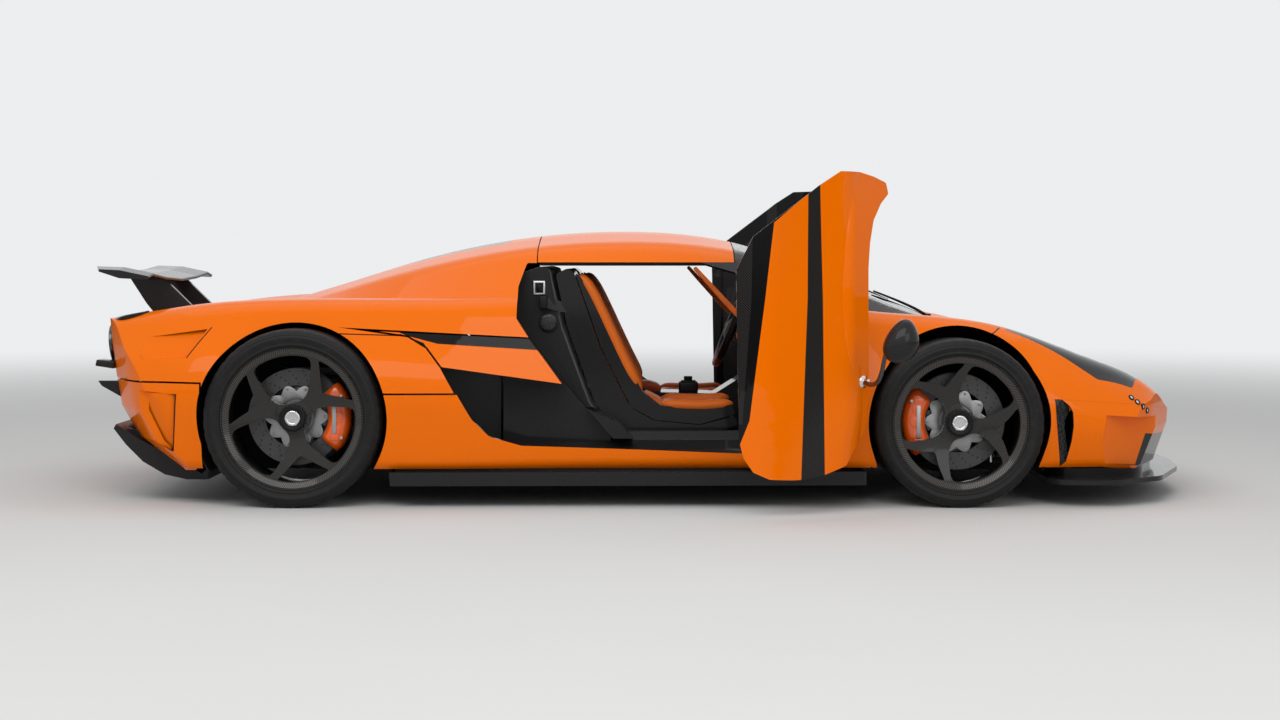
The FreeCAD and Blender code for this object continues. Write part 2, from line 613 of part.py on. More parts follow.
def make_doors():
    """Both doors as they stand open, each on its arm, yoke and post."""
    skin, inner = door_layers()
    place, root, pin = door_place(1)
    pin_radius = size("pin_radius")
    play = size("bearing_play")
    thick = size("arm_thick")
    wide = size("arm_wide")
    block = size("yoke_size")
    reach = pin - root
    heading = math.degrees(math.atan2(reach.y, reach.x))
    # The arm is a flat link between two round eyes
    link = box(0, reach.Length, -thick / 2, thick / 2, -wide / 2, wide / 2)
    for eye in (0, reach.Length):
        link = link.fuse(Part.makeCylinder(pin_radius + 14, wide, Vector(eye, 0, -wide / 2)))
    for eye in (0, reach.Length):
        bore = Part.makeCylinder(pin_radius + play, wide + 2, Vector(eye, 0, -wide / 2 - 1))
        link = link.cut(bore)
    link.Placement = Placement(root, Rotation(Vector(0, 0, 1), heading))
    # The yoke holds the arm's end between two ears and carries the door on a cross pin
    ear = 14
    gap = size("eye_gap")
    half = wide / 2 + gap
    back = pin_radius + 14 + gap
    yoke = box(-block / 2, block / 2, back, back + 16, -half - ear, half + ear)
    for z in (-half - ear, half):
        plate = box(-block / 2 + 8, block / 2 - 8, -pin_radius - 8, back + 1, z, z + ear)
        yoke = yoke.fuse(plate)
    yoke = yoke.fuse(Part.makeCylinder(pin_radius, 2 * (half + ear), Vector(0, 0, -half - ear)))
    spindle_end = 94
    spindle = Part.makeCylinder(pin_radius, spindle_end - back, Vector(0, back, 0), Vector(0, 1, 0))
    yoke = yoke.fuse(spindle)
    yoke.Placement = Placement(pin, Rotation())
    hub_start = back + 16 + gap
    hub = Part.makeCylinder(pin_radius + 16, spindle_end - hub_start, Vector(0, hub_start, 0), Vector(0, 1, 0))
    hub = hub.cut(Part.makeCylinder(pin_radius + play, 60, Vector(0, 0, 0), Vector(0, 1, 0)))
    hub.Placement = Placement(pin, Rotation())
    bore = Part.makeCylinder(pin_radius + play, 120, Vector(0, 0, 0), Vector(0, 1, 0))
    bore.Placement = Placement(pin, Rotation())
    open_inner = moved(inner, place).fuse(hub).cut(bore)
    for name, side in SIDES:
        add_piece(f"door_skin_{name}", only_solids(on_side(moved(skin, place), side)))
        add_piece(f"door_inner_{name}", only_solids(on_side(open_inner, side)))
        add_piece(f"door_arm_{name}", only_solids(on_side(link, side)))
        add_piece(f"door_yoke_{name}", only_solids(on_side(yoke, side)))
    mirror = mirror_head()
    for name, side in SIDES:
        add_piece(f"mirror_{name}", only_solids(on_side(moved(mirror, place), side)))


def mirror_head():
    """Door mirror as it stands with the door shut: foot, bent stalk and egg-shaped head."""
    foot_x = station(335)
    foot_at = surface_point(Vector(foot_x, 1300, 846), Vector(foot_x, 0, 846))
    elbow = foot_at + Vector(-80, 170, 55)
    head_at = foot_at + Vector(-160, 190, 140)
    foot = cylinder(24, foot_at - Vector(0, 12, 4), foot_at + Vector(0, 14, 5))
    stalk = cylinder(9, foot_at, elbow).fuse(cylinder(9, elbow, head_at))
    stalk = stalk.fuse(Part.makeSphere(9, elbow))
    head = Part.makeSphere(70)
    stretch = FreeCAD.Matrix()
    stretch.scale(Vector(0.9, 1.3, 0.72))
    head = head.transformGeometry(stretch)
    head.translate(head_at + Vector(0, 40, 0))
    return foot.fuse(stalk).fuse(head).cut(OUTER)


# Cabin, tub and underfloor

def make_tub(tyre_room):
    """Carbon tub: floor, side channels, bulkheads, door jambs and arch liners."""
    x_back = station(-560)
    x_front = station(700)
    inner_y = 618
    rim_z = 285
    profile = [(0, 142), (940, 142), (940, 192), (850, 196), (770, 214), (705, 250), (680, rim_z),
               (640, rim_z), (inner_y, 240), (inner_y - 10, 172), (0, 172)]
    wire = rounded_wire([Vector(x_back, y, z) for y, z in profile], [0, 20, 12, 60, 60, 40, 14, 14, 20, 20, 0])
    tub = Part.Face(wire).extrude(Vector(x_front - x_back, 0, 0))
    bulkhead = box(station(-560), station(-520), -20, 700, 160, 900)
    firewall = box(station(760), station(790), -20, 640, 142, 660).fuse(
        box(station(690), station(790), -20, 640, 142, 180))
    firewall = firewall.fuse(box(station(760), station(790), 600, 835, 450, 660)).fuse(door_post())
    jamb = side_region([(-500, 860), (-496, 745), (-435, 655), (-398, 610), (-300, 478), (-110, 262), (-30, 262),
                        (-230, 500), (-330, 640), (-400, 770), (-420, 930), (-470, 930)])
    jamb = jamb.common(box(-3000, 3000, 590, 800, 200, 960))
    jamb = jamb.common(OUTER).cut(side_region(APERTURE)).fuse(
        side_region([(-560, 200), (-560, 900), (-508, 900), (-508, 745), (-445, 650), (-308, 480), (-120, 262),
                     (-120, 200)]).common(box(-3000, 3000, 600, 720, 200, 900)))
    pillar = side_region([(-560, 900), (-508, 900), (-508, 745), (-449, 656), (-412, 606), (-314, 494),
                          (-372, 502), (-470, 640), (-545, 745)]).common(box(-3000, 3000, 600, 1000, 200, 900))
    half = tub.fuse(bulkhead).fuse(firewall).fuse(jamb).fuse(pillar)
    half = half.common(lower_half(SKIN + 0.4).fuse(canopy_half(SKIN + 0.4)))
    add_piece("tub", whole(half))

    floor = plan_region([(1660, -30), (1660, 560), (900, 560), (900, 925), (-1000, 960), (-1000, 520),
                         (-1760, 520), (-1760, -30)])
    floor = floor.common(box(-3000, 3000, -40, 1200, 112, size("floor_top")))
    skirt = plan_region([(905, 860), (905, 940), (-995, 975), (-995, 880)])
    skirt = skirt.common(box(-3000, 3000, 0, 1200, size("floor_bottom"), size("floor_top")))
    add_piece("underfloor", whole(floor.fuse(skirt)))

    liners = []
    for axle_x, axle_z, inner, y_from, shoulder in (
            (FRONT_X, size("front_tyre_radius"), size("front_liner_radius"), 640,
             [(878, 450), (852, 545), (822, 605), (785, 655), (745, 672), (500, 672)]),
            (REAR_X, size("rear_tyre_radius"), size("rear_liner_radius"), 590,
             [(917.8, 480), (755, 740), (500, 900)])):
        outer = inner + size("liner_wall")
        ring = Part.makeCylinder(outer, 940 - y_from, Vector(axle_x, y_from, axle_z), Vector(0, 1, 0))
        ring = ring.cut(Part.makeCylinder(inner, 940, Vector(axle_x, y_from + 6, axle_z), Vector(0, 1, 0)))
        room = [(500, size("floor_top") + 0.3), (shoulder[0][0], size("floor_top") + 0.3)] + shoulder
        room_face = Part.Face(rounded_wire([Vector(axle_x - 600, y, z) for y, z in room], 0))
        ring = ring.common(room_face.extrude(Vector(1200, 0, 0)))
        hole = Part.makeCylinder(210, 40, Vector(axle_x, y_from - 10, axle_z), Vector(0, 1, 0))
        ring = ring.cut(hole).cut(tyre_room)
        if axle_x == FRONT_X:
            # Each half of the front liner stands on the floor by a foot
            for lean in (-1, 1):
                ends = sorted((axle_x + lean * 346, axle_x + lean * 412))
                ring = ring.fuse(box(*ends, 700, 740, size("floor_top") + 0.3, 150))
        liners.append(only_solids(ring))
    add_piece("arch_liners", both(Part.makeCompound(liners)))


def door_post():
    """Bracket on the firewall with the upright pin that the left door's arm swings on."""
    place, root, pin = door_place(1)
    radius = size("pin_radius")
    half = size("arm_wide") / 2 + size("eye_gap")
    plate = 12
    post = Part.makeCylinder(radius, 2 * (half + plate), root - Vector(0, 0, half + plate))
    for z in (-half - plate, half):
        post = post.fuse(box(root.x - radius - 8, station(762), root.y - 24, root.y + 24, root.z + z,
                             root.z + z + plate))
    return post


def make_nose_and_tail_aero(chin):
    """Splitter under the nose, with the black chin above it, and diffuser under the tail."""
    splitter = plan_region([(2334, -100), (2334, 80), (2288, 410), (2120, 800), (1900, 975), (1640, 985),
                            (1640, -100)], 0, 160)
    splitter = splitter.common(box(-3000, 3000, -60, 1200, 92, 112))
    under = plan_region([(2200, -100), (2200, 300), (2060, 700), (1660, 880), (1660, -100)], 0, 160)
    under = under.common(box(-3000, 3000, -60, 1200, 111, size("floor_top")))
    splitter = splitter.fuse(under).fuse(chin)
    add_piece("front_splitter", whole(splitter))
    profile = [(-1762, 92), (-1762, 142), (-1790, 116), (-1940, 203), (-2040, 253), (-2140, 318), (-2150, 300),
               (-2100, 235), (-2030, 165), (-1940, 112), (-1850, 92)]
    tray = side_region(profile).common(box(-3000, 0, -30, 760, 0, 600))
    fins = []
    for y in (120, 320, 520, 700):
        fin = side_region([(-1780, 100), (-1820, 150), (-2060, 290), (-2120, 300), (-2090, 230), (-1990, 138),
                           (-1880, 95)])
        fins.append(fin.common(box(-3000, 0, y, y + 8, 0, 600)))
    for fin in fins:
        tray = tray.fuse(fin)
    pipe_hole = Part.makeCylinder(size("tail_pipe_radius") + size("seam"), 900, Vector(-2700, 0, PIPE_Z),
                                  Vector(1, 0, 0))
    tray = tray.cut(doc.getObject("rear_bumper").Shape).cut(pipe_hole)
    add_piece("rear_diffuser", whole(tray))


def make_cabin():
    """Seats, dash, console and the steering wheel with its column."""
    back = [(-352, 930), (-300, 955), (-275, 935), (-165, 620), (-40, 372), (60, 318), (250, 300), (395, 336),
            (410, 300), (250, 250), (30, 250), (-90, 268), (-190, 400), (-300, 700)]
    shell_t = size("seat_shell")
    half_wide = size("seat_wide") / 2
    outer_wire = rounded_wire([Vector(station(x), -half_wide, z) for x, z in back],
                              [20, 20, 30, 200, 120, 80, 60, 14, 14, 60, 60, 60, 120, 60])
    shell = Part.Face(outer_wire).extrude(Vector(0, 2 * half_wide, 0))
    pad = [(-262, 925), (-205, 885), (-100, 650), (10, 428), (90, 384), (250, 370), (386, 388), (392, 330),
           (250, 288), (50, 305), (-56, 360), (-185, 610), (-290, 920)]
    pad_wire = rounded_wire([Vector(station(x), -half_wide + 60, z) for x, z in pad],
                            [14, 30, 200, 100, 60, 60, 10, 6, 60, 80, 120, 200, 10])
    cushion = Part.Face(pad_wire).extrude(Vector(0, 2 * half_wide - 120, 0))
    bolster = side_prism([(-255, 925), (-205, 860), (-95, 640), (10, 440), (90, 380), (250, 372), (385, 384),
                          (398, 345), (250, 303), (62, 321), (-36, 374), (-161, 624), (-270, 935)], 0, 44, 8)
    wings = []
    for edge in (-half_wide, half_wide - 44):
        wing = bolster.copy()
        wing.translate(Vector(0, edge, 0))
        wings.append(wing)
    tub_floor = 172
    base = box(station(-60), station(330), -150, 150, tub_floor, 252)
    shell = shell.fuse(base)
    for wing in wings:
        shell = shell.fuse(wing)
    grow = size("pad_gap")
    cushion = cushion.cut(shell)
    cushion = cushion.common(box(-2000, 2000, -half_wide + 44 + grow, half_wide - 44 - grow, 0, 2000))
    shift = Vector(0, size("seat_y"), 0)
    shell.translate(shift)
    cushion.translate(shift + Vector(0, 0, grow))
    add_piece("seat_shells", both(only_solids(shell)))
    add_piece("seat_pads", both(max(cushion.Solids, key=lambda solid: solid.Volume)))

    dash = side_region([(560, 600), (520, 700), (560, 772), (700, 800), (760, 780), (760, 560), (640, 540)])
    dash = dash.common(box(-2000, 2000, -30, 600, 0, 2000)).common(canopy_half(SKIN + 2).fuse(
        lower_half(SKIN + 2)))
    add_piece("dashboard", whole(dash))
    console = side_region([(-510, 172), (-510, 470), (-100, 410), (330, 400), (520, 520), (690, 538), (690, 172)], 0,
                          30).common(box(-2000, 2000, -30, 112, 0, 2000))
    add_piece("centre_console", whole(console))

    rake = math.radians(size("wheel_rake"))
    centre = Vector(size("wheel_x"), size("seat_y"), size("wheel_z"))
    axis = Vector(-math.cos(rake), 0, math.sin(rake))
    ring = Part.makeTorus(size("wheel_ring_radius"), size("wheel_ring_thick"), centre, axis)
    hub = cylinder(48, centre - axis * 34, centre + axis * 6)
    for angle in (0, 140, 220):
        side_dir = Vector(0, 1, 0)
        up_dir = axis.cross(side_dir)
        out = side_dir * math.sin(math.radians(angle)) - up_dir * math.cos(math.radians(angle))
        hub = hub.fuse(cylinder(11, centre - axis * 10, centre + out * size("wheel_ring_radius")))
    add_piece("steering_wheel", only_solids(ring.fuse(hub)))
    dash_face = centre - axis * 34.3
    column = cylinder(size("column_radius"), dash_face, dash_face - axis * 200)
    column = column.cut(doc.getObject("dashboard").Shape)
    doc.getObject("dashboard").Shape = doc.getObject("dashboard").Shape.fuse(column)
    return centre, axis


def make_power():
    """Engine as one plain block, and the exhaust outlet."""
    engine = box(station(-1150), station(-600), -290, 290, 172, 620)
    gearbox = size("gearbox_half")
    engine = engine.fuse(box(size("engine_back"), station(-1150), -gearbox, gearbox, 200, 430))
    engine = engine.fuse(box(station(-1690), station(-610), -gearbox, gearbox, size("floor_top"), 201))
    add_piece("engine", only_solids(engine))
    pipe_x = station(-2225)
    long = size("engine_back") - pipe_x
    pipe = Part.makeCylinder(size("tail_pipe_radius"), long, Vector(pipe_x, 0, PIPE_Z), Vector(1, 0, 0))
    pipe = pipe.cut(Part.makeCylinder(size("tail_pipe_radius") - size("tail_pipe_wall"), long - 40,
                                      Vector(pipe_x - 1, 0, PIPE_Z), Vector(1, 0, 0)))
    add_piece("exhaust", only_solids(pipe))


def make_wing():
    """Rear wing blade on two raked pylons that stand on the deck."""
    rear_x = size("wing_rear_x")
    chord = size("wing_chord")
    thick = size("wing_thick")
    top = size("wing_top")
    span = size("wing_span") / 2
    wires = []
    for y, drop, sweep in ((0, 26, 0), (300, 16, 4), (span - 90, 0, 10), (span, 12, 40)):
        profile = [Vector(rear_x + sweep, y, top - drop), Vector(rear_x + 0.5 * chord, y, top - drop - 4),
                   Vector(rear_x + chord, y, top - drop - 30), Vector(rear_x + chord - 6, y, top - drop - 44),
                   Vector(rear_x + 0.5 * chord, y, top - drop - 4 - thick),
                   Vector(rear_x + sweep, y, top - drop - 10)]
        wires.append(rounded_wire(profile, [2, 60, 6, 6, 60, 2]))
    blade = Part.makeLoft(wires, True, True)
    half_t = size("pylon_thick") / 2
    y = size("pylon_y") - half_t
    sides = [(rear_x + 60, top - 40), (rear_x + 76, top - 22), (rear_x + chord - 30, top - 58),
             (station(-1930), 768), (station(-1900), 700), (station(-2080), 700), (station(-2108), 748),
             (station(-2150), 800)]
    pylon = Part.Face(rounded_wire([Vector(x, y, z) for x, z in sides], [4, 4, 60, 60, 0, 0, 0, 60]))
    pylon = pylon.extrude(Vector(0, 2 * half_t, 0))
    pylon = pylon.cut(OUTER)
    add_piece("rear_wing", whole(blade.fuse(pylon)))


# Wheels, brakes and suspension

AXLES = {
    "front": dict(x=FRONT_X, tyre="front_tyre_radius", wide="front_tyre_width", rim="front_rim_radius",
                  track="front_track_half", window_turn=0),
    "rear": dict(x=REAR_X, tyre="rear_tyre_radius", wide="rear_tyre_width", rim="rear_rim_radius",
                 track="rear_track_half", window_turn=39),
}


def make_wheels():
    """Tyre, rim and brake disc of each wheel, turned about the axle; outboard is +Y in the profile."""
    for axle, data in AXLES.items():
        tyre, wide, rim = data["tyre"], data["wide"], data["rim"]
        for name, side in SIDES:
            place = Placement(Vector(data["x"], side * size(data["track"]), size(tyre)),
                              Rotation(Vector(0, 0, 1), 0 if side > 0 else 180))
            half = f"{wide} / 2"
            body = turned_body(f"tyre_{axle}_{name}", [
                (rim, f"-{half} + 14"), (f"{rim} + 22", f"-{half}"), (f"{tyre} - tyre_shoulder", f"-{half}"),
                (f"{tyre} - 4", f"-{half} + 12"), (tyre, f"-{half} + tyre_shoulder"),
                (tyre, f"{half} - tyre_shoulder"), (f"{tyre} - 4", f"{half} - 12"),
                (f"{tyre} - tyre_shoulder", half), (f"{rim} + 22", half), (rim, f"{half} - 14")])
            finish_node(body, f"tyre_{axle}_{name}", place)
            face = f"{half} - face_inset"
            dish = f"{face} - face_dish"
            core = turned_body(f"rim_core_{axle}_{name}", [
                (rim, f"-{half} + 14"), (rim, f"{half} - 14"), (f"{rim} - rim_wall", f"{half} - 14"),
                (f"{rim} - rim_wall - 6", face), ("hub_radius + 30", dish), ("hub_radius", f"{dish} + 12"),
                ("0", f"{dish} + 12"), ("0", f"{dish} - hub_length"), ("hub_radius", f"{dish} - hub_length"),
                ("hub_radius + 22", f"{dish} - face_thick"), (f"{rim} - rim_wall", f"{face} - face_thick"),
                (f"{rim} - rim_wall", f"-{half} + 14")])
            cutter = doc.addObject("Part::Feature", f"windows_{axle}_{name}")
            cutter.Shape = wheel_windows(size(rim), data["window_turn"] * -side)
            cut = doc.addObject("Part::Cut", f"rim_{axle}_{name}")
            cut.Base = core
            cut.Tool = cutter
            finish_node(cut, f"rim_{axle}_{name}", place)


def wheel_windows(rim, turn):
    """Openings of the spoked face: three wide ones between the arms and three small ones in their forks."""
    outer = rim - 36
    tools = []
    for index in range(3):
        middle = turn + 120 * index
        wide = [(outer, -24), (outer / math.cos(math.radians(12)), 0), (outer, 24), (128, 43), (86, 30),
                (80, 0), (86, -30), (128, -43)]
        small = [(outer, -23), (outer / math.cos(math.radians(12)), 0), (outer, 23), (150, 4), (150, -4)]
        for outline, heading, radii in ((wide, middle + 60, 22), (small, middle, 12)):
            points = []
            for radius, angle in outline:
                bearing = math.radians(heading + angle)
                points.append(Vector(radius * math.cos(bearing), -20, radius * math.sin(bearing)))
            wire = rounded_wire(points, radii)
            tools.append(Part.Face(wire).extrude(Vector(0, 260, 0)))
    return Part.makeCompound(tools)


def make_brakes_and_hubs():
    """Discs on the wheels, calipers and uprights that carry them, and the arms to the tub."""
    for axle, data in AXLES.items():
        half = size(data["wide"]) / 2
        dish = half - size("face_inset") - size("face_dish")
        calipers = []
        uprights = []
        for name, side in SIDES:
            centre = Vector(data["x"], side * size(data["track"]), size(data["tyre"]))
            turn = Rotation(Vector(0, 0, 1), 0 if side > 0 else 180)
            hat = turned_body(f"disc_{axle}_{name}", [
                ("0", f"{data['wide']} / 2 - face_inset - face_dish - hub_length"),
                ("disc_hat", f"{data['wide']} / 2 - face_inset - face_dish - hub_length"),
                ("disc_hat", f"{data['wide']} / 2 - disc_inset"), ("disc_radius", f"{data['wide']} / 2 - disc_inset"),
                ("disc_radius", f"{data['wide']} / 2 - disc_inset - disc_thick"),
                ("axle_radius", f"{data['wide']} / 2 - disc_inset - disc_thick"),
                ("axle_radius", f"{data['wide']} / 2 - disc_inset - disc_thick - knuckle_gap - knuckle_thick"),
                ("0", f"{data['wide']} / 2 - disc_inset - disc_thick - knuckle_gap - knuckle_thick")])
            finish_node(hat, f"brake_disc_{axle}_{name}", Placement(centre, turn))
            disc_face = half - size("disc_inset")
            disc_back = disc_face - size("disc_thick")
            gap = size("caliper_play")
            wall = size("caliper_wall")
            outer_r = size("disc_radius") + size("caliper_wrap")
            lead = 0 if axle == "rear" else 180
            spread = size("caliper_angle") / 2
            ring = Part.makeCylinder(outer_r, disc_face - disc_back + 2 * (gap + wall),
                                     Vector(0, disc_back - gap - wall, 0), Vector(0, 1, 0))
            ring = ring.cut(Part.makeCylinder(size("disc_radius") - size("disc_band") - 8, 400,
                                              Vector(0, -200, 0), Vector(0, 1, 0)))
            slot = Part.makeCylinder(size("disc_radius") + gap, size("disc_thick") + 2 * gap,
                                     Vector(0, disc_back - gap, 0), Vector(0, 1, 0))
            ring = ring.cut(slot)
            reach = 400
            wedge = Part.Face(Part.makePolygon([
                Vector(0, -300, 0),
                Vector(reach * math.cos(math.radians(spread)), -300, reach * math.sin(math.radians(spread))),
                Vector(reach * math.cos(math.radians(spread)), -300, -reach * math.sin(math.radians(spread))),
                Vector(0, -300, 0)])).extrude(Vector(0, 600, 0))
            caliper = ring.common(wedge)
            caliper.rotate(Vector(0, 0, 0), Vector(0, 1, 0), lead)
            if side < 0:
                caliper = caliper.mirror(Vector(0, 0, 0), Vector(0, 1, 0))
            caliper.translate(centre)
            calipers.append(only_solids(caliper))
            # The upright is a plate behind the disc, bored for the axle
            knuckle_face = disc_back - size("knuckle_gap")
            thick = size("knuckle_thick")
            rise = size("knuckle_rise")
            ear = 1 if axle == "rear" else -1
            plate = box(-62, 62, knuckle_face - thick, knuckle_face, -rise, rise)
            link = box(ear * 40 if ear > 0 else -150, 150 if ear > 0 else -40, knuckle_face - 20, knuckle_face, -40,
                       40)
            upright = plate.fuse(link).cut(ring)
            bore = Part.makeCylinder(size("axle_radius") + size("bearing_play"), 400, Vector(0, -300, 0),
                                     Vector(0, 1, 0))
            upright = upright.cut(bore)
            if side < 0:
                upright = upright.mirror(Vector(0, 0, 0), Vector(0, 1, 0))
            upright.translate(centre)
            uprights.append(only_solids(upright))
        if axle == "front":
            for (name, side), caliper, upright in zip(SIDES, calipers, uprights):
                add_piece(f"caliper_front_{name}", caliper)
                add_piece(f"knuckle_{name}", upright)
        else:
            add_piece("calipers_rear", Part.makeCompound(calipers))
            add_piece("hub_carriers", Part.makeCompound(uprights))
    make_links()


def make_links():
    """Wishbones from the tub to the uprights, and the drive shafts."""
    inner_y = size("wishbone_inner_y")
    spread = size("wishbone_spread")
    thick = size("wishbone_thick")
    for axle, data in AXLES.items():
        half = size(data["wide"]) / 2
        disc_back = half - size("disc_inset") - size("disc_thick")
        plate_mid = size(data["track"]) + disc_back - size("knuckle_gap") - size("knuckle_thick") / 2
        rise = size("knuckle_rise")
        z = size(data["tyre"])
        arms = []
        for level in (-1, 1):
            height = z + level * (rise + 0.4 + thick / 2)
            tip = Vector(data["x"], plate_mid, height)
            for lean in (-1, 1):
                root = Vector(data["x"] + lean * spread, inner_y, height + level * 6)
                arms.append(cylinder(thick / 2, root, tip))
            arms.append(Part.makeCylinder(24, thick, tip - Vector(0, 0, thick / 2)))
        rail = box(data["x"] - spread - 30, data["x"] + spread + 30, inner_y - 50, inner_y + 6, size("floor_top"),
                   z + rise + 40)
        shape = rail
        for arm in arms:
            shape = shape.fuse(arm)
        beam_from = -20 if axle == "front" else size("gearbox_half")
        shape = shape.fuse(box(data["x"] - 40, data["x"] + 40, beam_from, inner_y - 40, z - 30, z + 30))
        add_piece(f"suspension_{axle}", whole(shape))


CHIN_HALF, TYRE_ROOM = make_panels()
make_doors()
make_tub(TYRE_ROOM)
make_nose_and_tail_aero(CHIN_HALF)
STEERING = make_cabin()
make_power()
make_wing()
make_wheels()
make_brakes_and_hubs()
doc.recompute()

faults = []
for item in doc.Objects:
    if "Invalid" in item.State or "Error" in item.State:
        faults.append(f"{item.Name} {item.State}")
for item in NODES:
    if item.Shape.isNull() or not item.Shape.isValid() or not item.Shape.Solids:
        faults.append(f"{item.Label} shape")
if faults:
    raise RuntimeError("not written: " + ", ".join(faults))
os.makedirs("parts", exist_ok=True)
for item in NODES:
    item.Shape.exportStep(f"parts/{item.Label}.step")
print(len(NODES), "sub-parts written")
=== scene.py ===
"""Looks of the supercar: finishes, tyres, wheels, lamps, vents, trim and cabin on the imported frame."""
import math
from functools import cache

import bmesh
import bpy
import numpy
from mathutils import Matrix, Vector
from mathutils.bvhtree import BVHTree


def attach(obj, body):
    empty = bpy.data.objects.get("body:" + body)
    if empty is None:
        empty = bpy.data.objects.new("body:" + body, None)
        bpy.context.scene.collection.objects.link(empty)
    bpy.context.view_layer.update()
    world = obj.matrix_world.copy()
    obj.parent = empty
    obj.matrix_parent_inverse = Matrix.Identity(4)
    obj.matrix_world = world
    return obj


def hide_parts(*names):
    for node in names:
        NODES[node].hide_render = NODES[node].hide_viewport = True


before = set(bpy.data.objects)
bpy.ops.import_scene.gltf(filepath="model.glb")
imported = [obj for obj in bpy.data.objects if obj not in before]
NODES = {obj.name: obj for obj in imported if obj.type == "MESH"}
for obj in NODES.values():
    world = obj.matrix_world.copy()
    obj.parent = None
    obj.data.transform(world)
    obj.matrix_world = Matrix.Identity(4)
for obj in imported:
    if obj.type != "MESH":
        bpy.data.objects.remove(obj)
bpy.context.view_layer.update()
SIDES = (("right", -1), ("left", 1))
TAU = math.tau
# Colours of hides and lacquers that several pieces share
ORANGE_HIDE = (0.9, 0.17, 0.008)
BROWN_HIDE = (0.5, 0.075, 0.006)
GLOSS_BLACK = (0.01, 0.01, 0.011, 0.15)


class Graph:
    """A node tree, built from short calls."""

    def __init__(self, tree):
        self.tree = tree

    def add(self, kind, **settings):
        node = self.tree.nodes.new(kind)
        for key, value in settings.items():
            setattr(node, key, value)
        return node

    def feed(self, socket, value):
        if isinstance(value, bpy.types.NodeSocket):
            self.tree.links.new(value, socket)
        else:
            socket.default_value = value

    def made(self, kind, values, output=0, **settings):
        """Output of a new node whose inputs, by name or number, take the values."""
        node = self.add(kind, **settings)
        for key, value in values.items():
            self.feed(node.inputs[key], value)
        return node.outputs[output]

    def math(self, operation, *values, clamp=False):
        return self.made("ShaderNodeMath", dict(enumerate(values)), operation=operation, use_clamp=clamp)

    def times(self, first, second):
        return self.math("MULTIPLY", first, second)

    def plus(self, first, second):
        return self.math("ADD", first, second)

    def minus(self, first, second):
        return self.math("SUBTRACT", first, second)

    def absolute(self, value):
        return self.math("ABSOLUTE", value)


